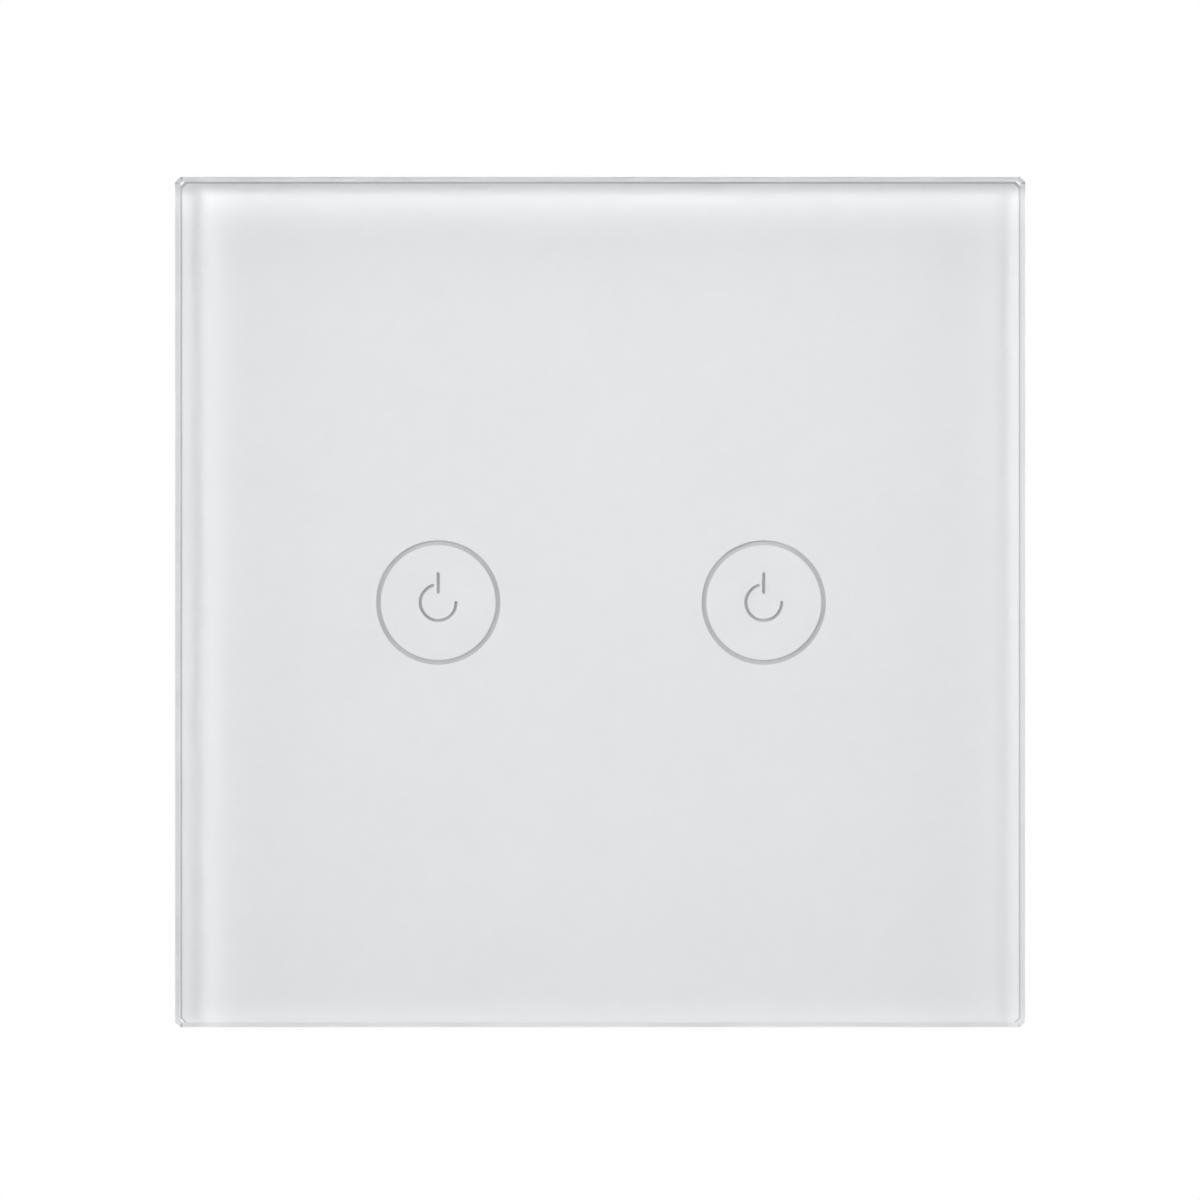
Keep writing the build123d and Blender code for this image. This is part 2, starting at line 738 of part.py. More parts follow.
def terminal_cage(x):
    # A square ring: the screw's thread is in its thick wall, and its thin wall lifts the wire.
    window_width = cage_width - 2 * cage_side_wall
    with BuildPart() as cage:
        with BuildSketch(Plane.XY.offset(cage_bottom)):
            with Locations((x, (cage_front + cage_back) / 2)):
                Rectangle(cage_width, cage_back - cage_front)
            with Locations((x, (clamp_face + nut_face) / 2)):
                Rectangle(window_width, nut_face - clamp_face, mode=Mode.SUBTRACT)
        extrude(amount=cage_length)
        outside = cage.edges().filter_by(Axis.Z).group_by(Axis.Y)
        chamfer(outside[0] + outside[-1], length=cage_corner)
        with BuildSketch(level(cage_back)):
            with Locations((x, screw_height)):
                Circle(terminal_screw_radius + thread_gap)
        extrude(amount=cage_nut_wall, mode=Mode.SUBTRACT)
    return cage


def terminal_screw(x):
    # A cheese-head screw, captive between the shoulder of its well and the cage.
    head_face = seat_face + thread_gap
    with BuildPart() as screw:
        with BuildSketch(level(head_face)):
            with Locations((x, screw_height)):
                Circle(well_radius - shank_gap)
        extrude(amount=-terminal_head_height)
        with BuildSketch(level(head_face)):
            with Locations((x, screw_height)):
                Circle(terminal_screw_radius)
        extrude(amount=head_face - bar_back - cage_stop_gap)
        with BuildSketch(level(head_level)):
            with Locations((x, screw_height)):
                Rectangle(2 * well_radius, driver_slot_width)
        extrude(amount=driver_slot_depth, mode=Mode.SUBTRACT)
    return screw


finished = {
    "glass_panel": glass_panel,
    "adhesive_sheet": adhesive_sheet,
    "panel_frame": panel_frame,
    "light_guide_left": light_guide_left,
    "light_guide_right": light_guide_right,
    "mounting_base": mounting_base,
    "rear_housing": rear_housing,
    "housing_screws": housing_screws,
    "touch_board": touch_board,
    "touch_spring_left": touch_spring_left,
    "touch_spring_right": touch_spring_right,
    "status_lamps": status_lamps,
    "touch_chip": touch_chip,
    "chip_parts": chip_parts,
    "board_socket": board_socket,
    "board_header": board_header,
    "power_board": power_board,
    "relay_left": relay_left,
    "relay_right": relay_right,
    "transformer": transformer,
    "smoothing_capacitor": smoothing_capacitor,
    "suppression_capacitor": suppression_capacitor,
    "varistor": varistor,
    "fuse": fuse,
    "rectifier": rectifier,
    "terminal_block": terminal_block,
    "contact_bars": contact_bars,
}
for pole in range(pole_count):
    pole_x = (pole - (pole_count - 1) / 2) * pole_spacing
    finished[f"terminal_cage_{pole + 1}"] = terminal_cage(pole_x)
    finished[f"terminal_screw_{pole + 1}"] = terminal_screw(pole_x)

for name, piece in finished.items():
    piece.part.label = name
    export_step(piece.part, f"parts/{name}.step")
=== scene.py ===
import math

import bmesh
import bpy
from mathutils import Matrix, Vector


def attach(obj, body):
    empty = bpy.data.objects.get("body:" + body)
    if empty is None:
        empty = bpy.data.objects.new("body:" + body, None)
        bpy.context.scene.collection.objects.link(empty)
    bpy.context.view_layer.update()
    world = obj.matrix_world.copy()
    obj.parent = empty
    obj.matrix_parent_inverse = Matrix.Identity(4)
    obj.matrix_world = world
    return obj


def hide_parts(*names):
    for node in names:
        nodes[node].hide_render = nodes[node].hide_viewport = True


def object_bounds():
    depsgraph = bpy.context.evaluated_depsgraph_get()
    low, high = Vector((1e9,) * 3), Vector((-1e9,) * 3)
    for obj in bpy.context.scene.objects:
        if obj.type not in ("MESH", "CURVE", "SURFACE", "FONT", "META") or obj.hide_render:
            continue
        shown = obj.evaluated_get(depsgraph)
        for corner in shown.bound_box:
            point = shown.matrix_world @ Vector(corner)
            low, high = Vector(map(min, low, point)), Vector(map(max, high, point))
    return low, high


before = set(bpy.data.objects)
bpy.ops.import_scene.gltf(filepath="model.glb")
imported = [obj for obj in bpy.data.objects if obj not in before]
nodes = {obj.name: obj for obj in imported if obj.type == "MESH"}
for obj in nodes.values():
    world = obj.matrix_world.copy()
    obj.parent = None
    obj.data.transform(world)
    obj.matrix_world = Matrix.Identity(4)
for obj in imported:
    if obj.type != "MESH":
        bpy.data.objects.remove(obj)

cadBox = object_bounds()
scene = bpy.context.scene
scene.view_settings.view_transform = "Standard"
scene.cycles.diffuse_bounces = 10  # light crosses the glass and the white print many times
scene.cycles.max_bounces = 20
scene.cycles.blur_glossy = 0.0  # keeps the light inside the glass crisp at its edges
mm = 0.001
smoothAngle = 32  # degrees; sharper edges stay crisp


# Helpers for materials and Geometry Nodes trees

class Value:  # one socket of a node tree; arithmetic on it adds Math nodes
    def __init__(self, graph, socket):
        self.graph = graph
        self.socket = socket

    def __add__(self, other):
        return self.graph.maths("ADD", self, other)

    def __radd__(self, other):
        return self.graph.maths("ADD", other, self)

    def __sub__(self, other):
        return self.graph.maths("SUBTRACT", self, other)

    def __rsub__(self, other):
        return self.graph.maths("SUBTRACT", other, self)

    def __mul__(self, other):
        return self.graph.maths("MULTIPLY", self, other)

    def __rmul__(self, other):
        return self.graph.maths("MULTIPLY", other, self)

    def __truediv__(self, other):
        return self.graph.maths("DIVIDE", self, other)

    def __rtruediv__(self, other):
        return self.graph.maths("DIVIDE", other, self)

    def __lt__(self, other):
        return self.graph.maths("LESS_THAN", self, other)

    def __gt__(self, other):
        return self.graph.maths("GREATER_THAN", self, other)

    def most(self, other):
        return self.graph.maths("MAXIMUM", self, other)


class Outputs:  # a node's outputs, by name or number
    def __init__(self, graph, made):
        self.graph = graph
        self.made = made

    def __getitem__(self, key):
        return Value(self.graph, self.made.outputs[key])


class Graph:  # what a material and a Geometry Nodes tree have in common
    def node(self, kind, settings=None, values=None):
        made = self.nodeTree.nodes.new(kind)
        for key, setting in (settings or {}).items():
            setattr(made, key, setting)
        for key, value in (values or {}).items():
            socket = made.inputs[key]
            for one in value if isinstance(value, list) else [value]:
                if isinstance(one, Value):
                    self.nodeTree.links.new(one.socket, socket)
                elif socket.type == "RGBA" and len(one) == 3:
                    socket.default_value = (*one, 1.0)
                else:
                    socket.default_value = one
        return Outputs(self, made)

    def maths(self, operation, a, b=0.0):
        return self.node("ShaderNodeMath", {"operation": operation}, {0: a, 1: b})[0]

    def ramp(self, value, low, high, ends=(0.0, 1.0), kind="LINEAR"):  # takes low..high to the two ends
        values = {0: value, 1: low, 2: high, 3: ends[0], 4: ends[1]}
        return self.node("ShaderNodeMapRange", {"interpolation_type": kind}, values)[0]


class Finish(Graph):  # a material, built up from nodes
    def __init__(self, name, owner=None):
        self.material = owner or bpy.data.materials.new(name)
        self.material.use_nodes = True
        self.nodeTree = self.material.node_tree
        self.nodeTree.nodes.clear()

    def place(self, turn=(0, 0, 0), scale=(1, 1, 1)):  # Object coordinates, turned and stretched
        coords = self.node("ShaderNodeTexCoord")["Object"]
        if (turn, scale) == ((0, 0, 0), (1, 1, 1)):
            return coords
        values = {"Vector": coords, "Rotation": turn, "Scale": scale}
        return self.node("ShaderNodeMapping", {"vector_type": "POINT"}, values)["Vector"]

    def axis(self, name):  # X, Y or Z in millimetres
        return self.node("ShaderNodeSeparateXYZ", None, {0: self.place()})[name] * 1000

    def noise(self, size, detail, rough, place=None):
        values = {"Vector": place or self.place(), "Scale": 1 / (size * mm), "Detail": detail,
                  "Roughness": rough}
        return self.node("ShaderNodeTexNoise", None, values)[0]

    def cells(self, size):
        values = {"Vector": self.place(), "Scale": 1 / (size * mm)}
        return self.node("ShaderNodeTexVoronoi", None, values)["Distance"]

    def step(self, value, low, high):  # 0 below low, 1 above high, smooth between
        return self.ramp(value, low, high, kind="SMOOTHSTEP")

    def spread(self, value, low, high):  # takes 0..1 to low..high
        return self.ramp(value, 0.0, 1.0, (low, high))

    def inside(self, value, low, high, soft=0.01):  # 1 between two values, 0 outside
        return self.step(value, low - soft, low + soft) * (1 - self.step(value, high - soft, high + soft))

    def mix(self, factor, a, b, blend="MIX"):
        settings = {"data_type": "RGBA", "blend_type": blend, "clamp_factor": True}
        return self.node("ShaderNodeMix", settings, {0: factor, 6: a, 7: b})[2]

    def grey(self, value):
        return self.node("ShaderNodeCombineColor", None, {0: value, 1: value, 2: value})[0]

    def bump(self, height, depth, edge=0.0):  # depth, and the radius that rounds sharp edges, in millimetres
        values = {"Strength": 1.0, "Distance": depth * mm, "Height": height}
        if edge:
            values["Normal"] = self.node("ShaderNodeBevel", {"samples": 4}, {"Radius": edge * mm})[0]
        return self.node("ShaderNodeBump", None, values)["Normal"]

    def mixed(self, factor, a, b):  # two shaders
        return self.node("ShaderNodeMixShader", None, {0: factor, 1: a, 2: b})[0]

    def surface(self, **values):
        sockets = {key.replace("_", " "): value for key, value in values.items()}
        shader = self.node("ShaderNodeBsdfPrincipled", None, sockets)["BSDF"]
        self.node("ShaderNodeOutputMaterial", None, {"Surface": shader})
        return self.material


def shades(colour, amount):  # the colour a little darker and a little lighter
    return tuple(c * (1 - amount) for c in colour), tuple(min(1.0, c * (1 + amount)) for c in colour)


def moulded(name, colour, grain, depth, gloss, cloud, edge=0.0):
    # Injection moulded plastic from a spark-eroded tool: a fine even grain, faint flow clouds, handled edges
    finish = Finish(name)
    flow = finish.noise(14.0, 3.0, 0.55, finish.place((0.3, 0.5, 0.2), (1, 0.6, 1.7)))
    fine = finish.noise(grain, 3.0, 0.65)
    pits = finish.cells(grain * 1.7)
    speck = finish.spread(finish.step(fine, 0.3, 0.7), 0.965, 1.0)
    tone = finish.mix(finish.step(flow, 0.3, 0.7), *shades(colour, cloud))
    tone = finish.mix(1.0, tone, finish.grey(speck), "MULTIPLY")
    handled = finish.noise(3.5, 4.0, 0.6)
    return finish.surface(Base_Color=tone, IOR=1.5,
                          Roughness=finish.spread(fine * 0.6 + handled * 0.4, gloss - 0.08, gloss + 0.1),
                          Normal=finish.bump(fine * 0.7 + pits * 0.3, depth, edge))


# Stage: camera, world and floor

stageSet = {
    "cameraDistance": 1.2,  # from the front of the glass
    "cameraLens": 355.97,
    "cameraSensor": 36.0,
    "cameraX": -0.00002,
    "cameraZ": 0.0002,
    "skyFront": 0.02,  # level of the light from in front, less the soft boxes
    "skyBack": 0.85,  # and from behind
    "softBoxes": {  # direction, angles of the bright core and of its soft edge in degrees, added level
        "left": ((-0.67, -0.73, 0.12), 5, 17, 9.35),
        "right": ((0.67, -0.73, 0.12), 5, 17, 5.1),
    },
    "lampTowards": (0.0, -0.845, 0.535),  # the lamp over the camera, near enough to light the top more
    "lampDistance": 0.32,
    "lampSize": (0.122, 0.213),
    "lampPower": 0.464,
    "floorRadius": 0.5,
    "floorHeight": -0.10,
    "floorFade": (0.35, 0.98),  # shares of the radius between which the paper fades out
    "floorTones": ((0.79, 0.79, 0.79), (0.82, 0.82, 0.82)),
    "floorLift": 0.32,  # how much paler the camera sees the paper
}


def linked(name, data):  # an object of the scene, with this mesh, curve, camera or lamp
    made = bpy.data.objects.new(name, data)
    scene.collection.objects.link(made)
    return made


def seenByCamera(finish):  # 1 where the camera sees the background, straight or in metal and glass
    path = finish.node("ShaderNodeLightPath")
    mirrored = path["Is Glossy Ray"].most(path["Is Transmission Ray"])
    return path["Is Camera Ray"].most(mirrored * (path["Diffuse Depth"] < 0.5))


def makeStage():
    s = stageSet
    camera = bpy.data.cameras.new("frontCamera")
    camera.lens = s["cameraLens"]
    camera.sensor_width = s["cameraSensor"]
    camera.clip_start = 0.01
    holder = linked("frontCamera", camera)
    holder.location = (s["cameraX"], cadBox[0].y - s["cameraDistance"], s["cameraZ"])
    holder.rotation_euler = (math.radians(90), 0, 0)
    scene.camera = holder

    world = bpy.data.worlds.new("softStudio")
    scene.world = world
    sky = Finish("softStudio", world)
    direction = sky.node("ShaderNodeTexCoord")["Generated"]
    ahead = sky.node("ShaderNodeSeparateXYZ", None, {0: direction})["Y"]
    level = sky.spread(sky.step(ahead, -0.25, 0.25), s["skyFront"], s["skyBack"])
    for towards, core, edge, added in s["softBoxes"].values():
        near = sky.node("ShaderNodeVectorMath", {"operation": "DOT_PRODUCT"},
                        {0: direction, 1: Vector(towards).normalized()})["Value"]
        level = level + added * sky.step(near, math.cos(math.radians(edge)), math.cos(math.radians(core)))
    soft, plain = [sky.node("ShaderNodeBackground", None, {"Color": (1.0, 1.0, 1.0), "Strength": strength})[0]
                   for strength in (level, 1.0)]
    sky.node("ShaderNodeOutputWorld", None, {"Surface": sky.mixed(seenByCamera(sky), soft, plain)})

    lamp = bpy.data.lights.new("overheadLamp", "AREA")
    lamp.shape = "RECTANGLE"
    lamp.size, lamp.size_y = s["lampSize"]
    lamp.energy = s["lampPower"]
    holder = linked("overheadLamp", lamp)
    towards = Vector(s["lampTowards"]).normalized()
    holder.location = towards * s["lampDistance"]
    holder.rotation_euler = towards.to_track_quat("Z", "Y").to_euler()
    holder.visible_camera = False
    holder.visible_glossy = False

    bpy.ops.mesh.primitive_circle_add(vertices=96, radius=s["floorRadius"], fill_type="NGON",
                                      location=(0, 0.01, s["floorHeight"]))
    floor = bpy.context.object
    floor.name = "floor"
    paper = Finish("palePaper")
    x, y = paper.axis("X"), paper.axis("Y")
    reach = paper.maths("SQRT", x * x + y * y) / (s["floorRadius"] * 1000)
    gone = paper.node("ShaderNodeNewGeometry")["Backfacing"].most(paper.step(reach, *s["floorFade"]))
    tone = paper.mix(paper.noise(6.0, 4.0, 0.6), *s["floorTones"])
    matt = paper.node("ShaderNodeBsdfDiffuse", None, {"Color": tone})[0]
    pale = paper.node("ShaderNodeEmission", None,
                      {"Color": (1.0, 1.0, 1.0), "Strength": seenByCamera(paper) * s["floorLift"]})[0]
    lit = paper.node("ShaderNodeAddShader", None, {0: matt, 1: pale})[0]
    clear = paper.node("ShaderNodeBsdfTransparent")[0]
    paper.node("ShaderNodeOutputMaterial", None, {"Surface": paper.mixed(gone, lit, clear)})
    floor.data.materials.append(paper.material)
    print("stage ready")


# Helpers for pieces

def dress(material, *names):
    for name in names:
        slots = nodes[name].data.materials
        slots.clear()
        slots.append(material)


class Tree(Graph):  # a Geometry Nodes tree with named inputs
    def __init__(self, name, **inputs):
        self.nodeTree = bpy.data.node_groups.new(name, "GeometryNodeTree")
        face = self.nodeTree.interface
        face.new_socket("Geometry", in_out="INPUT", socket_type="NodeSocketGeometry")
        for key, value in inputs.items():
            kind = {int: "NodeSocketInt", float: "NodeSocketFloat", str: value}[type(value)]
            made = face.new_socket(key, in_out="INPUT", socket_type=kind)
            if not isinstance(value, str):
                made.default_value = value
        face.new_socket("Geometry", in_out="OUTPUT", socket_type="NodeSocketGeometry")
        self.inputs = self.node("NodeGroupInput")

    def vector(self, x=0.0, y=0.0, z=0.0):
        return self.node("ShaderNodeCombineXYZ", None, {0: x, 1: y, 2: z})[0]

    def attribute(self, name):
        return self.node("GeometryNodeInputNamedAttribute", {"data_type": "FLOAT"}, {"Name": name})[0]

    def shapeOf(self, key):  # the mesh of an object that an input names
        values = {"Object": self.inputs[key]}
        return self.node("GeometryNodeObjectInfo", {"transform_space": "ORIGINAL"}, values)["Geometry"]

    def smooth(self, geometry, on=True):
        return self.node("GeometryNodeSetShadeSmooth", None, {"Geometry": geometry, "Shade Smooth": on})[0]

    def swept(self, curve, profile, capped=True):
        values = {"Curve": curve, "Profile Curve": profile, "Fill Caps": capped}
        return self.node("GeometryNodeCurveToMesh", None, values)[0]

    def upright(self, geometry, shift=(0.0, 0.0, 0.0)):  # what was drawn in X and Y stands up in X and Z
        values = {"Geometry": geometry, "Rotation": (math.radians(90), 0, 0), "Translation": shift}
        return self.node("GeometryNodeTransform", None, values)[0]

    def onPoints(self, shape, **values):  # one shape on each point, turned by the point's attribute
        spin = self.node("FunctionNodeEulerToRotation", None, {0: self.vector(y=self.attribute("turn"))})[0]
        values = {"Points": self.inputs["Geometry"], "Instance": shape, "Rotation": spin, **values}
        return self.node("GeometryNodeInstanceOnPoints", None, values)[0]

    def end(self, geometry):  # the last nodes of every tree
        real = self.node("GeometryNodeRealizeInstances", None, {0: geometry})[0]
        painted = self.node("GeometryNodeSetMaterial", None,
                            {"Geometry": real, "Material": self.inputs["Material"]})
        self.node("NodeGroupOutput", None, {0: painted[0]})
        return self


def plainMesh(holder, name):
    # The mesh that a curve or an object's modifiers give, in its place, with the object itself taken away
    bpy.context.view_layer.update()
    evaluated = holder.evaluated_get(bpy.context.evaluated_depsgraph_get())
    mesh = bpy.data.meshes.new_from_object(evaluated)
    mesh.transform(holder.matrix_world)
    bpy.data.objects.remove(holder)
    mesh.name = name
    return mesh


def grow(tree, source, name, **values):
    # Runs a tree on a mesh or curve, or on nothing, and gives the plain mesh that comes out
    holder = linked(name + "_source", source or bpy.data.meshes.new(name))
    modifier = holder.modifiers.new("tree", "NODES")
    modifier.node_group = tree.nodeTree
    for item in tree.nodeTree.interface.items_tree:
        if item.in_out == "INPUT" and item.name in values:
            modifier[item.identifier] = values[item.name]
    return plainMesh(holder, name)


def place(mesh, name, body, slot=None, replaced=(), material=None):
    # Makes a mesh a piece of the model
    if material:
        mesh.materials.clear()
        mesh.materials.append(material)
    piece = linked(name, mesh)
    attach(piece, body)
    if replaced:
        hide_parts(*replaced)
    return piece


def pathCurve(name, lines):  # open lines in millimetres, for a tree to follow
    curve = bpy.data.curves.new(name, "CURVE")
    curve.dimensions = "3D"
    for points in lines:
        line = curve.splines.new("POLY")
        line.points.add(len(points) - 1)
        for made, point in zip(line.points, points):
            made.co = (*[c * mm for c in point], 1)
    return curve


def pointCloud(name, points, turns=None, sizes=None):
    # Points in millimetres, each with a turn round the Y axis in degrees and a size
    mesh = bpy.data.meshes.new(name)
    mesh.from_pydata([tuple(c * mm for c in point) for point in points], [], [])
    turn = mesh.attributes.new("turn", "FLOAT", "POINT")
    size = mesh.attributes.new("size", "FLOAT", "POINT")
    for i in range(len(points)):
        turn.data[i].value = math.radians(turns[i]) if turns else 0.0
        size.data[i].value = sizes[i] if sizes else 1.0
    return mesh


class Shape:  # a mesh built up from rounded blocks, turned profiles and drawn outlines, in millimetres
    def __init__(self):
        self.made = bmesh.new()

    def add(self, part, soft=0.0, steps=2):
        if soft:
            bmesh.ops.bevel(part, geom=part.edges[:], offset=soft * mm, segments=steps, profile=0.5,
                            affect="EDGES", clamp_overlap=True)
        keep = bpy.data.meshes.new("part")
        part.to_mesh(keep)
        part.free()
        self.made.from_mesh(keep)
        bpy.data.meshes.remove(keep)
        return self

    def block(self, low, high, soft=0.0, steps=2):
        part = bmesh.new()
        bmesh.ops.create_cube(part, size=1.0)
        centre = Vector([(a + b) / 2 * mm for a, b in zip(low, high)])
        for corner in part.verts:
            corner.co = Vector([c * (b - a) * mm for c, a, b in zip(corner.co, low, high)]) + centre
        return self.add(part, soft, steps)

    def twoBlocks(self, low, high, axis, soft, steps=2):
        # A block and its mirror image on the other side of 0; axis is 0, 1 or 2
        for side in (-1, 1):
            a, b = list(low), list(high)
            a[axis], b[axis] = sorted((side * low[axis], side * high[axis]))
            self.block(a, b, soft, steps)
        return self

    def turned(self, profile, sides, at=(0, 0, 0), axis="Y"):
        # Turns a profile of (radius, along) round the Y or Z axis; ends that lie off the axis are closed
        part = bmesh.new()
        rings = []
        for radius, along in profile:
            ring = []
            for i in range(sides if radius > 0 else 1):
                angle = 2 * math.pi * i / sides
                a, b = radius * math.cos(angle), radius * math.sin(angle)
                spot = {"Y": (a, along, -b), "Z": (a, b, along)}[axis]
                ring.append(part.verts.new([(c + o) * mm for c, o in zip(spot, at)]))
            rings.append(ring)
        for low, high in zip(rings, rings[1:]):
            for i in range(sides):
                corners = [low[i % len(low)], low[(i + 1) % len(low)],
                           high[(i + 1) % len(high)], high[i % len(high)]]
                corners = [c for k, c in enumerate(corners) if c not in corners[:k]]
                if len(corners) > 2:
                    part.faces.new(corners)
        for ring in (rings[0], rings[-1]):
            if len(ring) > 1:
                part.faces.new(ring)
        bmesh.ops.recalc_face_normals(part, faces=part.faces[:])
        return self.add(part)

    def drawn(self, outline, low, high, axis="X", soft=0.0):
        # Draws an outline out along an axis: its points are (Y, Z) for X and (X, Y) for Z
        part = bmesh.new()
        spots = {"X": lambda p: (low, *p), "Z": lambda p: (*p, low)}[axis]
        face = part.faces.new([part.verts.new([c * mm for c in spots(p)]) for p in outline])
        far = bmesh.ops.extrude_face_region(part, geom=[face])["geom"]
        step = {"X": (1, 0, 0), "Z": (0, 0, 1)}[axis]
        bmesh.ops.translate(part, vec=Vector(step) * (high - low) * mm,
                            verts=[v for v in far if isinstance(v, bmesh.types.BMVert)])
        bmesh.ops.recalc_face_normals(part, faces=part.faces[:])
        return self.add(part, soft)

    def mesh(self, name, angle=smoothAngle):
        mesh = bpy.data.meshes.new(name)
        for edge in self.made.edges:
            edge.smooth = len(edge.link_faces) == 2 and edge.calc_face_angle() < math.radians(angle)
        for face in self.made.faces:
            face.smooth = True
        self.made.to_mesh(mesh)
        self.made.free()
        return mesh


def cutAway(mesh, *cutters):
    # Cuts each cutter's shape out of a mesh
    holder = linked(mesh.name + "_cut", mesh)
    tools = [linked("cutter", cutter) for cutter in cutters]
    for tool in tools:
        step = holder.modifiers.new("cut", "BOOLEAN")
        step.operation = "DIFFERENCE"
        step.solver = "EXACT"
        step.object = tool
    result = plainMesh(holder, mesh.name)
    for tool in tools:
        bpy.data.objects.remove(tool)
    result.set_sharp_from_angle(angle=math.radians(smoothAngle))
    return result


# Trees that several pieces share

def scatterTree():
    # Puts one small shape on each point of a mesh, turned and sized by the point's attributes
    tree = Tree("scatter", Shape="NodeSocketObject", Material="NodeSocketMaterial")
    size = tree.attribute("size")
    return tree.end(tree.onPoints(tree.shapeOf("Shape"), Scale=tree.vector(size, size, size)))


def wireTree():
    # Round wire along a path, with closed ends
    tree = Tree("roundWire", Radius=0.25 * mm, Sides=16, Material="NodeSocketMaterial")
    profile = tree.node("GeometryNodeCurvePrimitiveCircle", None,
                        {"Resolution": tree.inputs["Sides"], "Radius": tree.inputs["Radius"]})[0]
    return tree.end(tree.smooth(tree.swept(tree.inputs["Geometry"], profile)))


def threadTree():
    # A screw: its head, and a shank whose surface follows a right-hand thread, on each point
    tree = Tree("threadedScrew", Head="NodeSocketObject", Material="NodeSocketMaterial", Length=5.9 * mm,
                Pitch=0.5 * mm, Crest=1.45 * mm, Root=1.2 * mm, Around=32, Rows=80, Taper=0.4 * mm)
    read = tree.inputs
    grid = tree.node("GeometryNodeMeshGrid", None, {
        "Size X": 1.0, "Size Y": 1.0, "Vertices X": read["Around"], "Vertices Y": read["Rows"]})[0]
    spot = tree.node("ShaderNodeSeparateXYZ", None, {0: tree.node("GeometryNodeInputPosition")[0]})
    share = spot["X"] + 0.5
    angle = share * (2 * math.pi)
    along = (spot["Y"] + 0.5) * read["Length"]
    left = read["Length"] - along
    phase = tree.maths("FRACT", along / read["Pitch"] + share)
    ridge = 1 - tree.maths("ABSOLUTE", phase * 2 - 1)
    depth = read["Crest"] - read["Root"]
    tip = tree.ramp(left, 0.0, read["Taper"])
    radius = read["Root"] + tree.ramp(ridge, 0.15, 0.85) * depth * tip - (1 - tip) * depth
    radius = radius * (along > 1e-6) * (left > 1e-6)  # the first and last rows close the ends
    where = tree.vector(radius * tree.maths("COSINE", angle), along * -1, radius * tree.maths("SINE", angle))
    shank = tree.node("GeometryNodeSetPosition", None, {"Geometry": grid, "Position": where})[0]
    shank = tree.node("GeometryNodeMergeByDistance", None, {"Geometry": shank, "Distance": 0.004 * mm})[0]
    whole = tree.node("GeometryNodeJoinGeometry", None, {0: [tree.smooth(shank), tree.shapeOf("Head")]})[0]
    return tree.end(tree.onPoints(whole))


def scatter(name, shape, points, material, slot, replaced=(), turns=None, sizes=None):
    # A piece of the base with one shape, or finished mesh, on every point
    pattern = linked(name + "_shape", shape.mesh(name + "_shape") if isinstance(shape, Shape) else shape)
    mesh = grow(trees["scatter"], pointCloud(name, points, turns, sizes), name, Shape=pattern,
                Material=material)
    bpy.data.objects.remove(pattern)
    return place(mesh, name, "base", slot, replaced)


# Glass

glassSet = {
    "front": -10.5,
    "wall": (-10.0, -6.8),  # Y of the edge's flat wall, between the arrises
    "back": -6.5,
    "clear": (0.995, 1.0, 0.998),
    "edgeTint": (0.83, 0.95, 0.905),  # the faint green of a long way through the glass
    # painted shade: the ground arrises get a darker grey that stands in for the light their ground faces
    # scatter away
    "arrisTint": (0.78, 0.80, 0.79),
    "groundRough": (0.04, 0.14),
    "wallPolish": 0.6,  # how much smoother the flat wall is than the arrises
    "lineDepth": 0.0003,
}


def glassFinish():
    # Toughened float glass: clear faces, the edge and arrises ground and polished, with fine lines along them
    s = glassSet
    finish = Finish("toughenedGlass")
    y = finish.axis("Y")
    wall = finish.inside(y, *s["wall"], 0.003)
    ground = finish.inside(y, s["front"] + 0.008, s["back"] - 0.008, 0.004)
    lines = finish.noise(0.06, 3.0, 0.6, finish.place(scale=(0.03, 1, 0.03)))
    cloudy = finish.noise(2.5, 3.0, 0.5)
    # the arrises take the darker grey, which is painted shade for the light their ground faces scatter away
    tone = finish.mix(ground, s["clear"], s["arrisTint"])
    tone = finish.mix(wall * finish.spread(cloudy, 0.8, 1.0), tone, s["edgeTint"])
    rough = ground * finish.spread(lines * 0.7 + cloudy * 0.3, *s["groundRough"])
    return finish.surface(Base_Color=tone, Roughness=rough * (1 - wall * s["wallPolish"]), IOR=1.5,
                          Transmission_Weight=1.0, Normal=finish.bump(lines * ground, s["lineDepth"]))


# Print on the back of the glass: white all over, clear at the rings and symbols

printSet = {
    "sides": (-42.36, 42.42),  # the print sits a little low and to the right, as printed glass does
    "bottomTop": (-42.64, 42.40),
    "lowest": -42.68,  # just inside the glass's rear arris
    "corner": 0.5,
    "front": -6.545,
    "back": -6.525,
    "backingGrows": 0.20,  # the grey coat behind the white one reaches past it
    "backingBack": -6.505,
    "zones": (-16.42, 16.58),
    "zoneHeight": -0.06,
    "ringOuter": 6.30,
    "ringLine": 0.48,
    "arcRadius": 1.815,
    "arcStart": 107.6,
    "arcEnd": 360.3,
    "barLow": 1.05,
    "barHigh": 2.91,
    "stroke": 0.32,
}


def circlePoints(x, z, radius, count, start=0.0, end=360.0):
    closed = end - start >= 360.0
    steps = count if closed else count - 1
    return [(x + radius * math.cos(math.radians(start + (end - start) * i / steps)),
             z + radius * math.sin(math.radians(start + (end - start) * i / steps))) for i in range(count)]


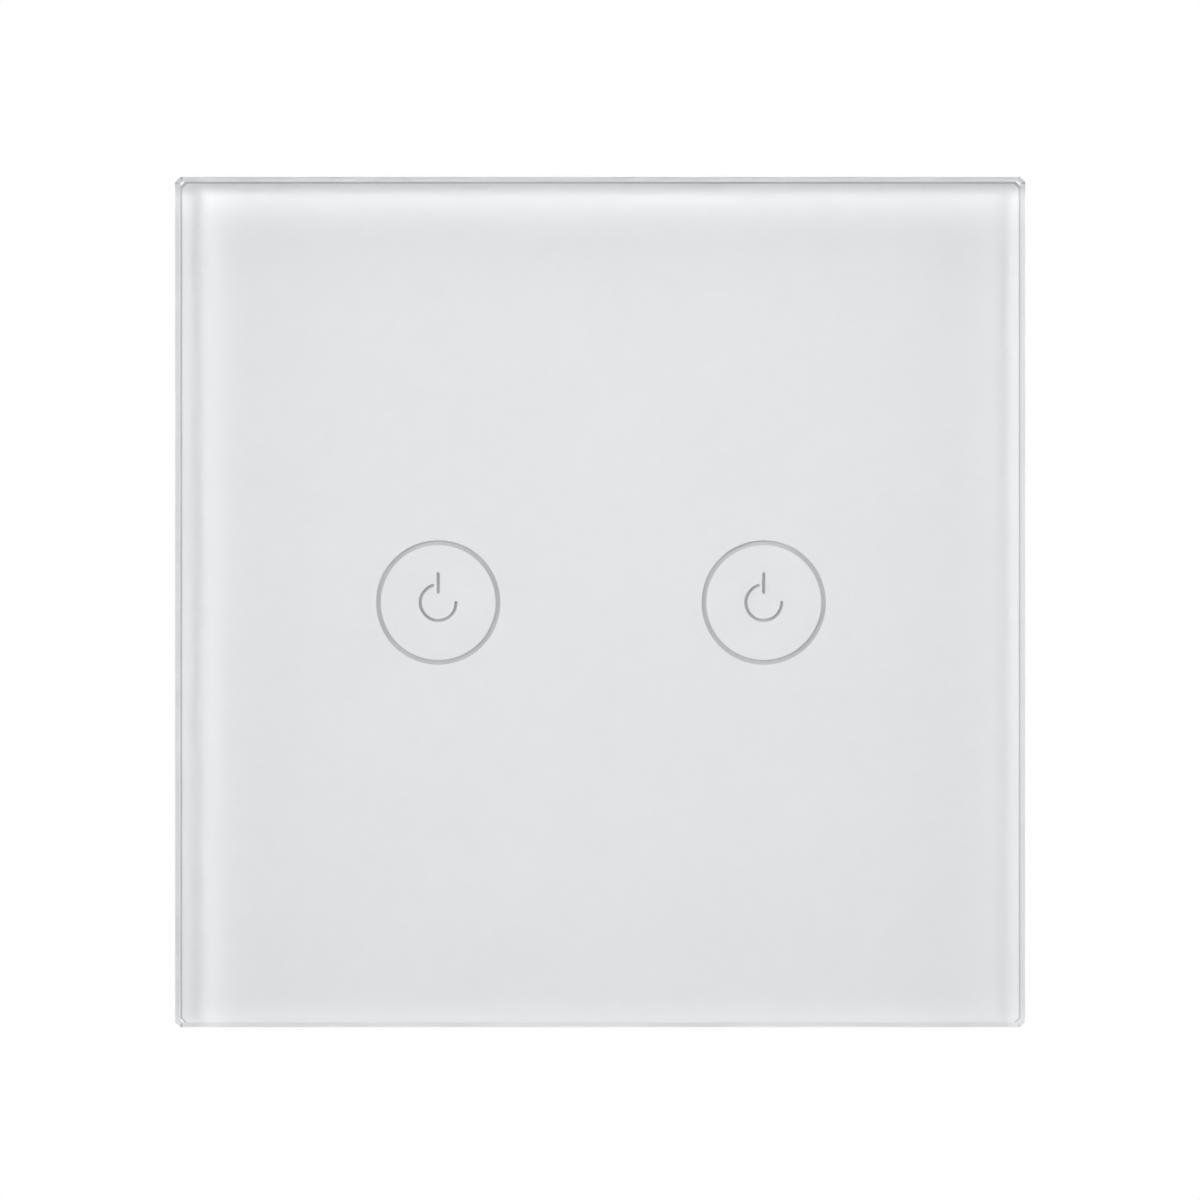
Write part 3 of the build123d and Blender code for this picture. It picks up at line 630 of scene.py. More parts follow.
def strokeOutline(line, width, capSteps=8):
    # The closed outline of a line of this width with round ends
    half = width / 2
    left, right = [], []
    for i, point in enumerate(line):
        ahead = line[min(i + 1, len(line) - 1)]
        behind = line[max(i - 1, 0)]
        along = Vector((ahead[0] - behind[0], ahead[1] - behind[1])).normalized()
        side = Vector((-along.y, along.x)) * half
        left.append((point[0] + side.x, point[1] + side.y))
        right.append((point[0] - side.x, point[1] - side.y))

    def cap(centre, towards):
        angle = math.atan2(towards[1] - centre[1], towards[0] - centre[0])
        return [(centre[0] + half * math.cos(angle - math.pi * k / capSteps),
                 centre[1] + half * math.sin(angle - math.pi * k / capSteps)) for k in range(1, capSteps)]

    return left + cap(line[-1], left[-1]) + right[::-1] + cap(line[0], right[0])


def plateOutline(wider=0.0):
    s = printSet
    x0, x1 = s["sides"][0] - wider, s["sides"][1] + wider
    z0, z1 = max(s["bottomTop"][0] - wider, s["lowest"]), s["bottomTop"][1] + wider
    c = s["corner"]
    return [(x0 + c, z0), (x1 - c, z0), (x1, z0 + c), (x1, z1 - c),
            (x1 - c, z1), (x0 + c, z1), (x0, z1 - c), (x0, z0 + c)]


def filledCoat(name, outlines, front, back, material):
    # A thin coat on the panel: the first outline filled, the others left clear
    flat = bpy.data.curves.new(name, "CURVE")
    flat.dimensions = "2D"
    flat.fill_mode = "BOTH"
    flat.extrude = (back - front) / 2 * mm
    for outline in outlines:
        line = flat.splines.new("POLY")
        line.points.add(len(outline) - 1)
        for point, (x, z) in zip(line.points, outline):
            point.co = (x * mm, z * mm, 0, 1)
        line.use_cyclic_u = True
    holder = linked(name + "_curve", flat)
    holder.rotation_euler = (math.radians(90), 0, 0)
    holder.location = (0, (front + back) / 2 * mm, 0)
    place(plainMesh(holder, name), name, "panel", material=material)


def inkFinish(name, colour):
    ink = Finish(name)
    mottle = ink.noise(2.2, 4.0, 0.6)
    grain = ink.noise(0.12, 2.0, 0.5)
    tone = ink.mix(ink.step(mottle * 0.6 + grain * 0.4, 0.3, 0.7), *shades(colour, 0.006))
    return ink.surface(Base_Color=tone, Roughness=ink.spread(grain, 0.55, 0.65), Specular_IOR_Level=0.0,
                       Normal=ink.bump(grain, 0.0005))


def makePrint():
    s = printSet
    windows = []
    z = s["zoneHeight"]
    for x in s["zones"]:
        windows.append(circlePoints(x, z, s["ringOuter"], 160))
        windows.append(circlePoints(x, z, s["ringOuter"] - s["ringLine"], 160))
        arc = circlePoints(x, z, s["arcRadius"], 72, s["arcStart"], s["arcEnd"])
        windows.append(strokeOutline(arc, s["stroke"]))
        windows.append(strokeOutline([(x, z + s["barLow"]), (x, z + s["barHigh"])], s["stroke"]))
    filledCoat("printed_white", [plateOutline()] + windows, s["front"], s["back"],
               inkFinish("whitePrint", (0.868, 0.869, 0.878)))
    filledCoat("printed_backing", [plateOutline(s["backingGrows"])] + windows, s["back"], s["backingBack"],
               inkFinish("greyBacking", (0.55, 0.55, 0.555)))
    print("print ready")


# Metals

def plated(name, colour, gloss, streak, cloud=0.06, along="Y", edge=0.0):
    # Plated or rolled metal: cloudy tone, fine scratches and, on rolled strip, lines along one axis
    finish = Finish(name)
    darker, lighter = shades(colour, cloud)
    cloudy = finish.noise(1.8, 4.0, 0.6)
    lines = finish.noise(0.07, 3.0, 0.6, finish.place(scale={"Y": (1, 0.05, 1), "Z": (1, 1, 0.05)}[along]))
    spots = finish.step(finish.noise(0.5, 3.0, 0.7), 0.62, 0.75)
    tone = finish.mix(spots * 0.25, finish.mix(cloudy, darker, lighter), darker)
    rough = finish.spread(cloudy * (1 - streak) + lines * streak, gloss - 0.08, gloss + 0.1) + spots * 0.08
    return finish.surface(Base_Color=tone, Metallic=1.0, Roughness=rough,
                          Normal=finish.bump(lines * (0.3 + 0.7 * streak) + cloudy * 0.3, 0.003, edge))


def solderFinish():
    # Solder: bright where it flowed, duller where it froze in grains
    finish = Finish("tinSolder")
    grains = finish.cells(0.16)
    cloudy = finish.noise(0.4, 3.0, 0.6)
    tone = finish.mix(grains * 0.6 + cloudy * 0.4, (0.42, 0.42, 0.43), (0.66, 0.66, 0.66))
    return finish.surface(Base_Color=tone, Metallic=1.0, Roughness=finish.spread(cloudy, 0.16, 0.42),
                          Normal=finish.bump(grains, 0.006))


# Touch springs: tinned wire, wound into an open coil with a foot and a tip

springSet = {
    "centres": {"left": -16.5, "right": 16.5},
    "wire": 0.25,  # radius of the wire
    "wireSides": 16,
    "coil": 3.4,
    "turns": 2.5,
    "endEase": 0.12,  # how much the first and last turns close up
    "foot": (2.0, -0.8),  # Y and Z where the wire meets the board
    "coilFrom": 0.7,  # Y of the coil's first and last point
    "coilTo": -2.35,
    "lead": 0.5,
    "bend": 0.8,
    "bendSteps": 8,
    "tip": -3.65,
    "stepsATurn": 40,
}


def springPath(x):
    s = springSet
    coil, bend = s["coil"], s["bend"]
    y, z = s["foot"]
    quarter = [math.pi / 2 * i / s["bendSteps"] for i in range(s["bendSteps"] + 1)]
    path = [(x + coil, y, z)]
    path += [(x + coil, y - s["lead"] - bend * math.sin(a), z + bend * (1 - math.cos(a))) for a in quarter]
    steps = int(s["turns"] * s["stepsATurn"])
    for i in range(1, steps + 1):
        share = i / steps
        ease = share - math.sin(2 * math.pi * share) / (2 * math.pi) * s["endEase"]
        angle = 2 * math.pi * s["turns"] * share
        path.append((x + coil * math.cos(angle), s["coilFrom"] + (s["coilTo"] - s["coilFrom"]) * ease,
                     coil * math.sin(angle)))
    path += [(x - coil, s["coilTo"] - bend * (1 - math.cos(a)), -bend * math.sin(a)) for a in quarter[1:]]
    return path + [(x - coil, s["tip"], -bend)]


def makeSprings():
    s = springSet
    wire = plated("tinnedSpringWire", (0.60, 0.59, 0.57), 0.22, 0.6, 0.08)
    for side, x in s["centres"].items():
        mesh = grow(trees["wire"], pathCurve("springPath", [springPath(x)]), f"coil_{side}",
                    Radius=s["wire"] * mm, Sides=s["wireSides"], Material=wire)
        place(mesh, f"wound_spring_{side}", "base", "spring_wire", [f"touch_spring_{side}"])
    print("springs ready")


# Screws: four in the housing's towers, one for each terminal

screwSet = {
    "poles": (-11.25, -3.75, 3.75, 11.25),
    "poleHeight": -23.6,
    "poleSeat": 21.9,  # Y of the terminal screws' heads' underside
    "poleHead": (2.3, 1.8),  # radius and height
    "poleRim": 0.18,
    "poleThread": {"Length": 5.9, "Pitch": 0.5, "Crest": 1.45, "Root": 1.18, "Taper": 0.35},
    "poleSteps": (33, 97),  # points round the shank and along it
    "slot": (0.8, 0.9),  # width and depth
    "towers": (21.0, 22.5),  # X and Z of the housing screws
    "towerSeat": 11.85,
    "towerHead": (2.5, 1.7),
    "towerWall": 0.55,  # height of the pan head's straight side
    "towerCrown": 1.15,  # how far its crown and its flat top reach in from its rim
    "towerFlat": 1.6,
    "towerThread": {"Length": 13.0, "Pitch": 1.1, "Crest": 1.3, "Root": 0.92, "Taper": 2.0},
    "towerSteps": (25, 109),
    "towerTurns": (12, 58, 31, 77),
    "cross": (2.8, 0.7, 0.9),  # length, width and depth
}


def screwHead(name, profile, sides, bars, depth):
    # A turned head with bars of (X, Z) sunk into its top
    top = profile[-1][1]
    cuts = [Shape().block((-a / 2, top - depth, -b / 2), (a / 2, top + 1, b / 2)).mesh("bar")
            for a, b in bars]
    return linked(name, cutAway(Shape().turned(profile, sides).mesh(name), *cuts))


def threaded(name, spots, turns, head, material, thread, steps):
    lengths = {key: value * mm for key, value in thread.items()}
    return grow(trees["thread"], pointCloud("screwPoints", spots, turns), name, Head=head, Material=material,
                Around=steps[0], Rows=steps[1], **lengths)


def makeScrews():
    s = screwSet
    steel = plated("zincPlatedSteel", (0.56, 0.57, 0.57), 0.32, 0.2, 0.10)
    radius, height = s["poleHead"]
    rim = s["poleRim"]
    profile = [(0, 0), (radius - 0.1, 0), (radius, 0.1), (radius, height - rim),
               (radius - rim * 0.3, height - rim * 0.3), (radius - rim, height), (0, height)]
    width, depth = s["slot"]
    head = screwHead("cheeseHead", profile, 64, [(2 * radius + 2, width)], depth)
    for i, x in enumerate(s["poles"], 1):
        mesh = threaded(f"clamp_screw_{i}", [(x, s["poleSeat"], s["poleHeight"])], None, head, steel,
                        s["poleThread"], s["poleSteps"])
        place(mesh, f"clamp_screw_{i}", f"screw_{i}", "plated_steel", [f"terminal_screw_{i}"])
    bpy.data.objects.remove(head)

    radius, height = s["towerHead"]
    wall = s["towerWall"]
    profile = [(0, 0), (radius - 0.12, 0), (radius, 0.12), (radius, wall)]
    for i in range(1, 9):  # the crown of the pan head
        a = math.pi / 2 * i / 8
        profile.append((radius - s["towerCrown"] * (1 - math.cos(a)), wall + (height - wall) * math.sin(a)))
    profile += [(radius - s["towerFlat"], height), (0, height)]
    length, width, depth = s["cross"]
    head = screwHead("panHead", profile, 48, [(length, width), (width, length)], depth)
    spots = [(x * s["towers"][0], s["towerSeat"], z * s["towers"][1]) for x in (-1, 1) for z in (-1, 1)]
    mesh = threaded("housing_screw_set", spots, s["towerTurns"], head, steel, s["towerThread"],
                    s["towerSteps"])
    bpy.data.objects.remove(head)
    place(mesh, "housing_screw_set", "base", "plated_steel", ["housing_screws"])
    print("screws ready")


# Circuit boards: laminate under solder mask, tracks, printed outlines and solder joints

boardSet = {
    "touch": (2.0, 3.2),  # Y of the front and the back
    "power": (8.0, 9.6),
    "trackHeight": 0.035,
    "printHeight": 0.015,
}


def boardFinish(name, mask, levels):
    # Solder mask over laminate: the weave shows faintly through the mask and plainly on the cut edges
    finish = Finish(name)
    x, y, z = [finish.axis(axis) for axis in "XYZ"]
    weave = (finish.maths("SINE", x * 13.0) * finish.maths("SINE", z * 13.0)) * 0.5 + 0.5
    cloudy = finish.noise(6.0, 4.0, 0.55)
    fine = finish.noise(0.12, 2.0, 0.5)
    cut = finish.inside(y, levels[0] + 0.03, levels[1] - 0.03)
    layers = finish.maths("SINE", y * 28.0) * 0.5 + 0.5
    laminate = (0.52, 0.44, 0.24)
    fibre = finish.mix(layers * 0.6 + fine * 0.4, shades(laminate, 0.2)[0], shades(laminate, 0.15)[1])
    tone = finish.mix(weave * 0.1 + cloudy * 0.9, *shades(mask, 0.07))
    return finish.surface(Base_Color=finish.mix(cut, tone, fibre),
                          Roughness=finish.spread(cloudy, 0.26, 0.38) + cut * 0.4,
                          Normal=finish.bump(weave * 0.2 + fine * 0.8, 0.004))


def inkLine(name, colour, gloss):
    # Printed or masked lines on a board: a film with soft blotches
    finish = Finish(name)
    blotch = finish.noise(0.9, 4.0, 0.6)
    fine = finish.noise(0.08, 2.0, 0.6)
    return finish.surface(Base_Color=finish.mix(blotch * 0.7 + fine * 0.3, *shades(colour, 0.08)),
                          Roughness=finish.spread(fine, gloss - 0.05, gloss + 0.1),
                          Normal=finish.bump(fine, 0.002))


def trackTree():
    # Flat strips along lines, laid on a board: drawn in X and Y and then stood up
    tree = Tree("flatTracks", Width=0.4 * mm, Height=0.035 * mm, Level=2.0 * mm,
                Material="NodeSocketMaterial")
    read = tree.inputs
    curve = tree.node("GeometryNodeSetCurveNormal", {"mode": "Z_UP"}, {"Curve": read["Geometry"]})[0]
    profile = tree.node("GeometryNodeCurvePrimitiveQuadrilateral", {"mode": "RECTANGLE"},
                        {"Width": read["Width"], "Height": read["Height"] * 2})[0]
    strip = tree.smooth(tree.swept(curve, profile), False)
    return tree.end(tree.upright(strip, tree.vector(y=read["Level"])))


def tracks(name, lines, width, level, material, slot, height=boardSet["trackHeight"]):
    flat = pathCurve(name, [[(x, z, 0) for x, z in line] for line in lines])
    mesh = grow(trees["track"], flat, name, Width=width * mm, Height=height * mm, Level=level * mm,
                Material=material)
    place(mesh, name, "base", slot)


def boxLine(x, z, width, height, gap=0.0):  # a closed rectangle round a part
    w, h = width / 2 + gap, height / 2 + gap
    return [(x - w, z - h), (x + w, z - h), (x + w, z + h), (x - w, z + h), (x - w, z - h)]


def nearlyRound(x, z, radius, count):  # a line that runs almost all the way round
    return circlePoints(x, z, radius, count, 0, 359.99)


touchSet = {
    "zones": (-16.5, 16.5),
    "spring": (3.4, -0.8),  # X from the middle of a zone, and Z, of the spring's foot
    "lampRing": 6.0,
    "lampAngles": (45, 135, 225, 315),
    "chipHeight": 9.0,
    "chipSize": (4.9, 3.9, 1.38, 0.12),  # length, width, height and how far it stands off
    "leadPitch": 1.27,
    "leadThickness": 0.4,
    "partHeights": (-10.6, -7.4),
    "partColumns": (-6.4, -3.2, 0.0, 3.2, 6.4),
    "partOutline": (0.8, 1.6, 0.38),  # width, height and the gap that the printed line keeps
    "chipOutline": (5.4, 3.3),
    "testOutline": (19.4, 2.2),
    "zoneRing": 4.9,
    "filletReach": 0.79,  # from the middle of a small part or lamp to its solder
    "testHeight": 16.4,
    "testPoints": (-8.6, -5.2, -1.8, 1.8, 5.2, 8.6),
    "trackWidth": 0.42,
    "printWidth": 0.14,
}


def lampPlaces():
    spots, turns = [], []
    for x in touchSet["zones"]:
        spots.append((x, 0.0))
        turns.append(0)
        for angle in touchSet["lampAngles"]:
            a = math.radians(angle)
            spots.append((x + touchSet["lampRing"] * math.cos(a), touchSet["lampRing"] * math.sin(a)))
            turns.append(-(angle + 90))
    return spots, turns


def makeTouchBoard():
    s = touchSet
    front = boardSet["touch"][0]
    dress(boardFinish("whiteMask", (0.80, 0.81, 0.79), boardSet["touch"]), "touch_board")
    solder = solderFinish()

    # indicator lamps: a ceramic seat, tinned ends and a resin block over the phosphor
    lamps, turns = lampPlaces()
    here = [(x, front, z) for x, z in lamps]
    seat = Shape().block((-0.62, -0.26, -0.4), (0.62, -0.03, 0.4), 0.03)
    ends = Shape().twoBlocks((0.5, -0.30, -0.4), (0.8, 0.0, 0.4), 0, 0.04)
    dome = Shape().drawn([(-0.56, -0.25), (0.56, -0.25), (0.50, -0.78), (-0.50, -0.78)], -0.385, 0.385,
                         "Z", 0.05)
    white = moulded("lampCeramic", (0.82, 0.82, 0.79), 0.08, 0.003, 0.45, 0.02)
    resin = Finish("lampResin")
    glow = resin.noise(0.3, 3.0, 0.5)
    resin.surface(Base_Color=resin.mix(glow, (0.76, 0.62, 0.20), (0.84, 0.74, 0.32)),
                  Roughness=resin.spread(glow, 0.12, 0.2), Normal=resin.bump(glow, 0.002),
                  Subsurface_Weight=0.3, Subsurface_Scale=0.0004, IOR=1.52)
    scatter("lamp_seats", seat, here, white, "lamp", turns=turns)
    scatter("lamp_ends", ends, here, solder, "lamp", turns=turns)
    scatter("lamp_domes", dome, here, resin.material, "lamp", ["status_lamps"], turns)

    # touch chip: moulded body with draft and a first-pin dimple, bent leads
    z = s["chipHeight"]
    epoxy = moulded("mouldedEpoxy", (0.020, 0.020, 0.021), 0.09, 0.006, 0.55, 0.15)
    scatter("chip_body", chipBody(*s["chipSize"]), [(0, front, z)], epoxy, "chip_black", ["touch_chip"])
    bend = [(-0.74, 1.80), (-0.74, 2.22), (-0.68, 2.38), (-0.52, 2.46), (-0.20, 2.50), (-0.10, 2.56),
            (-0.06, 2.92), (0.0, 2.92), (0.0, 2.50), (-0.08, 2.40), (-0.30, 2.34), (-0.50, 2.30),
            (-0.56, 2.22), (-0.56, 1.80)]
    half = s["leadThickness"] / 2
    leads = [((k - 1.5) * s["leadPitch"], front, z) for k in range(4)] * 2
    leadTurns = [0] * 4 + [180] * 4
    tinned = plated("tinnedLead", (0.60, 0.60, 0.59), 0.25, 0.4)
    scatter("chip_leads", Shape().drawn(bend, -half, half), leads, tinned, "chip_black", turns=leadTurns)

    # chip capacitors and resistors in turn, each a block between its tinned ends
    parts = [(x, front, z) for x in s["partColumns"] for z in s["partHeights"]]
    capacitors, resistors = parts[0::2], parts[1::2]
    tan = moulded("capacitorCeramic", (0.42, 0.29, 0.18), 0.05, 0.002, 0.4, 0.06)
    alumina = moulded("resistorCeramic", (0.72, 0.72, 0.70), 0.05, 0.002, 0.5, 0.03)
    glaze = moulded("resistorGlaze", (0.02, 0.02, 0.022), 0.2, 0.002, 0.22, 0.1)
    block = Shape().block((-0.39, -0.5, -0.56), (0.39, -0.03, 0.56), 0.05)
    caps = Shape().twoBlocks((-0.4, -0.5, 0.46), (0.4, 0.0, 0.8), 2, 0.07)
    flat = Shape().block((-0.39, -0.44, -0.7), (0.39, -0.05, 0.7), 0.03)
    film = Shape().block((-0.36, -0.47, -0.45), (0.36, -0.42, 0.45), 0.02)
    wraps = Shape().twoBlocks((-0.395, -0.46, 0.5), (0.395, 0.0, 0.8), 2, 0.05)
    scatter("capacitor_chips", block, capacitors, tan, "chip_ceramic", ["chip_parts"])
    scatter("capacitor_ends", caps, capacitors, solder, "chip_ceramic")
    scatter("resistor_chips", flat, resistors, alumina, "chip_ceramic")
    scatter("resistor_films", film, resistors, glaze, "chip_ceramic")
    scatter("resistor_ends", wraps, resistors, solder, "chip_ceramic")

    # solder: fillets at the small parts and lamps, joints at the springs' feet, test points
    ends = [(x, z, (0, 180)) for x, y, z in parts]
    ends += [(x, z, (turn + 90, turn - 90)) for (x, z), turn in zip(lamps, turns)]
    spots, ways = [], []
    for x, z, both in ends:
        for way in both:
            a = math.radians(way)
            spots.append((x + s["filletReach"] * math.sin(a), front, z + s["filletReach"] * math.cos(a)))
            ways.append(way)
    fillet = Shape().drawn([(0.01, 0.0), (-0.34, 0.0), (-0.20, 0.10), (-0.09, 0.24), (0.01, 0.42)],
                           -0.40, 0.40, soft=0.015)
    toe = Shape().drawn([(0.01, 2.34), (-0.10, 2.40), (-0.07, 2.90), (-0.03, 3.06), (0.01, 3.10)],
                        -0.27, 0.27, soft=0.015)
    cone = Shape().turned([(0, 0.01), (1.15, 0.01), (1.13, -0.05), (0.72, -0.14), (0.45, -0.30),
                           (0.33, -0.52), (0.26, -0.62), (0, -0.62)], 28)
    dot = Shape().turned([(0, 0.01), (0.62, 0.01), (0.6, -0.035), (0.3, -0.05), (0, -0.055)], 24)
    feet = [(x + s["spring"][0], front, s["spring"][1]) for x in s["zones"]]
    scatter("part_fillets", fillet, spots, solder, "white_board", turns=ways)
    scatter("lead_fillets", toe, leads, solder, "white_board", turns=leadTurns)
    scatter("spring_joints", cone, feet, solder, "white_board")
    scatter("test_points", dot, [(x, front, s["testHeight"]) for x in s["testPoints"]], solder, "white_board")

    outlines = [boxLine(x, z, *s["partOutline"]) for x in s["partColumns"] for z in s["partHeights"]]
    outlines.append(boxLine(0, s["chipHeight"], *s["chipOutline"]))
    outlines.append(boxLine(0, s["testHeight"], *s["testOutline"]))
    outlines += [nearlyRound(x, 0, s["zoneRing"], 73) for x in s["zones"]]
    masked = inkLine("maskedTrack", (0.73, 0.74, 0.72), 0.32)
    black = inkLine("blackPrint", (0.035, 0.035, 0.04), 0.5)
    tracks("touch_board_tracks", touchTracks(), s["trackWidth"], front, masked, "white_board")
    tracks("touch_board_print", outlines, s["printWidth"], front, black, "white_board",
           boardSet["printHeight"])
    print("touch board ready")


def touchTracks():
    # Tracks under the mask: from the test points, the chip, the springs and the small parts
    s = touchSet
    lines = []
    for k, x in enumerate(s["testPoints"]):
        z = s["testHeight"]
        side = math.copysign(1, x)
        shelf = 13.2 + 0.45 * (2.5 - abs(k - 2.5))
        to = (k - 2.5) * 0.9
        run = shelf - 12.7
        if abs(x) - 0.6 > abs(to) + run:
            lines.append([(x, z), (x, shelf + 0.6), (x - side * 0.6, shelf), (to + side * run, shelf),
                          (to, shelf - run), (to, 11.9)])
        else:  # the middle two slant straight in
            lines.append([(x, z), (x, shelf + 0.5), (to, shelf + 0.5 - abs(x - to)), (to, 11.9)])
    lines.append([(-2.9, 8.4), (-5.4, 8.4), (-13.1, 0.7), (-13.1, -0.8)])
    lines.append([(2.9, 8.4), (5.4, 8.4), (9.2, 4.6), (9.2, -5.0), (12.8, -8.6), (15.0, -8.6), (19.9, -3.7),
                  (19.9, -0.8)])
    around = ((2.9, 9.6), (6.6, 9.6), (9.4, 12.4), (18.0, 12.4), (20.74, 9.66), (20.74, 5.0))
    lines += [[(side * x, z) for x, z in around] for side in (-1, 1)]
    for x in s["partColumns"]:
        lines.append([(x, -6.2), (x, -4.6), (x * 0.72, -4.6 + abs(x) * 0.28), (x * 0.72, 5.6),
                      (x * 0.4, 5.6 + abs(x) * 0.32), (x * 0.4, 6.4)])
        lines.append([(x, -11.8), (x, -14.2), (x * 1.5, -14.2 - abs(x) * 0.5), (x * 1.5, -19.99)])
    lines.append([(-9.81, -20.2), (9.81, -20.2)])
    return lines


def chipBody(length, width, height, stand):
    # A moulded package: its sides lean in above and below the parting line, with a dimple at its first pin
    part = bmesh.new()
    rings = []
    for lean, share in ((0.10, 0.0), (0.0, 0.42), (0.0, 0.50), (0.12, 1.0)):  # share of the height
        x, y, z = length / 2 - lean, stand + height * share, width / 2 - lean
        rings.append([part.verts.new((a * x * mm, -y * mm, b * z * mm))
                      for a, b in ((-1, -1), (1, -1), (1, 1), (-1, 1))])
    for low, high in zip(rings, rings[1:]):
        for i in range(4):
            part.faces.new([low[i], low[(i + 1) % 4], high[(i + 1) % 4], high[i]])
    part.faces.new(rings[0])
    part.faces.new(rings[-1])
    bmesh.ops.recalc_face_normals(part, faces=part.faces[:])
    bmesh.ops.bevel(part, geom=part.edges[:], offset=0.05 * mm, segments=2, profile=0.5, affect="EDGES")
    dimple = Shape().turned([(0, -0.2), (0.32, -0.2), (0.26, 0.09), (0, 0.10)], 24,
                            at=(-length / 2 + 0.75, -stand - height, -width / 2 + 0.8))
    return cutAway(Shape().add(part).mesh("chipBody"), dimple.mesh("dimple"))


# Power board: its parts stand on its back, their joints are on its front

powerSet = {
    "tabHeight": -18.3,
    "relays": (-11.6, 11.6),
    "relayMiddle": -7.8,
    "relaySize": (10.2, 12.4, 18.0),
    "relayPins": ((-3.6, -7.0), (3.6, -7.0), (-3.6, 5.0), (3.6, 5.0), (0.0, 7.4)),
    "nib": (2.6, 6.4),  # X and Z of a relay's moulding nib, from its middle
    "pinSpots": [(k * 2.54, 22.0) for k in (-2, -1, 0, 1, 2)],
    "transformer": (11.6, 10.6),
    "bobbinDepth": 11.0,
    "flange": 1.0,
    "coreHalf": 3.0,
    "coil": (9.3, 11.3, 1.0),  # width, height and corner of a turn
    "wireRadius": 0.14,
    "wirePitch": 0.285,
    "wireTurns": 30,
    "can": (-0.6, 15.5),
    "canRadius": 4.0,
    "canHeight": 12.0,
    "film": (-12.8, 7.1),
    "varistor": (-12.8, 12.6),
    "varistorRadius": 4.5,
    "varistorThickness": 3.4,
    "varistorRim": 1.1,
    "fuse": (-12.8, 17.1),
    "rectifier": (-0.6, 7.4),
    "outlines": {  # width, height and gap of the printed lines
        "transformer": (13.0, 13.0, 0.25), "film": (13.0, 6.0, 0.2), "rectifier": (4.8, 6.6, 0.25)},
    "pinOutline": (12.7, 2.5, 0.2),
    "canRing": 4.2,
    "wideTrack": 1.9,
    "thinTrack": 0.6,
    "printWidth": 0.16,
}


def solderSpots():
    # X, Z and size of the joints on the front of the power board
    s = powerSet
    groups = [((x, s["relayMiddle"]), s["relayPins"], 1.0) for x in s["relays"]]
    groups += [((0.0, 0.0), s["pinSpots"], 0.8),
               (s["transformer"], [(a, b) for a in (-4.2, -1.4, 1.4, 4.2) for b in (-5.6, 5.6)], 0.8),
               (s["can"], [(-1.75, 0), (1.75, 0)], 0.9),
               (s["film"], [(-5.0, 0), (5.0, 0)], 0.9),
               (s["varistor"], [(-2.5, 0), (2.5, 0)], 0.9),
               (s["fuse"], [(-2.54, 0), (2.54, 0)], 0.85),
               (s["rectifier"], [(a, b) for a in (-1.27, 1.27) for b in (-2.6, 2.6)], 0.8)]
    return [(x + a, z + b, size) for (x, z), pins, size in groups for a, b in pins]


def windingTree():
    # Turns of wire: one rounded loop, repeated along Y at the wire's pitch
    tree = Tree("winding", Width=9.6 * mm, Height=11.6 * mm, Corner=1.2 * mm, Wire=0.14 * mm, Pitch=0.29 * mm,
                Turns=30, Material="NodeSocketMaterial")
    read = tree.inputs
    loop = tree.node("GeometryNodeCurvePrimitiveQuadrilateral", {"mode": "RECTANGLE"},
                     {"Width": read["Width"], "Height": read["Height"]})[0]
    loop = tree.node("GeometryNodeFilletCurve", {"mode": "POLY"},
                     {"Curve": loop, "Count": 4, "Radius": read["Corner"], "Limit Radius": True})[0]
    profile = tree.node("GeometryNodeCurvePrimitiveCircle", None,
                        {"Resolution": 7, "Radius": read["Wire"]})[0]
    turn = tree.upright(tree.smooth(tree.swept(loop, profile, False)))
    row = tree.node("GeometryNodeMeshLine", {"mode": "OFFSET"},
                    {"Count": read["Turns"], "Offset": tree.vector(y=read["Pitch"])})[0]
    return tree.end(tree.node("GeometryNodeInstanceOnPoints", None, {"Points": row, "Instance": turn})[0])


def shifted(mesh, x, y, z):
    mesh.transform(Matrix.Translation((x * mm, y * mm, z * mm)))
    return mesh


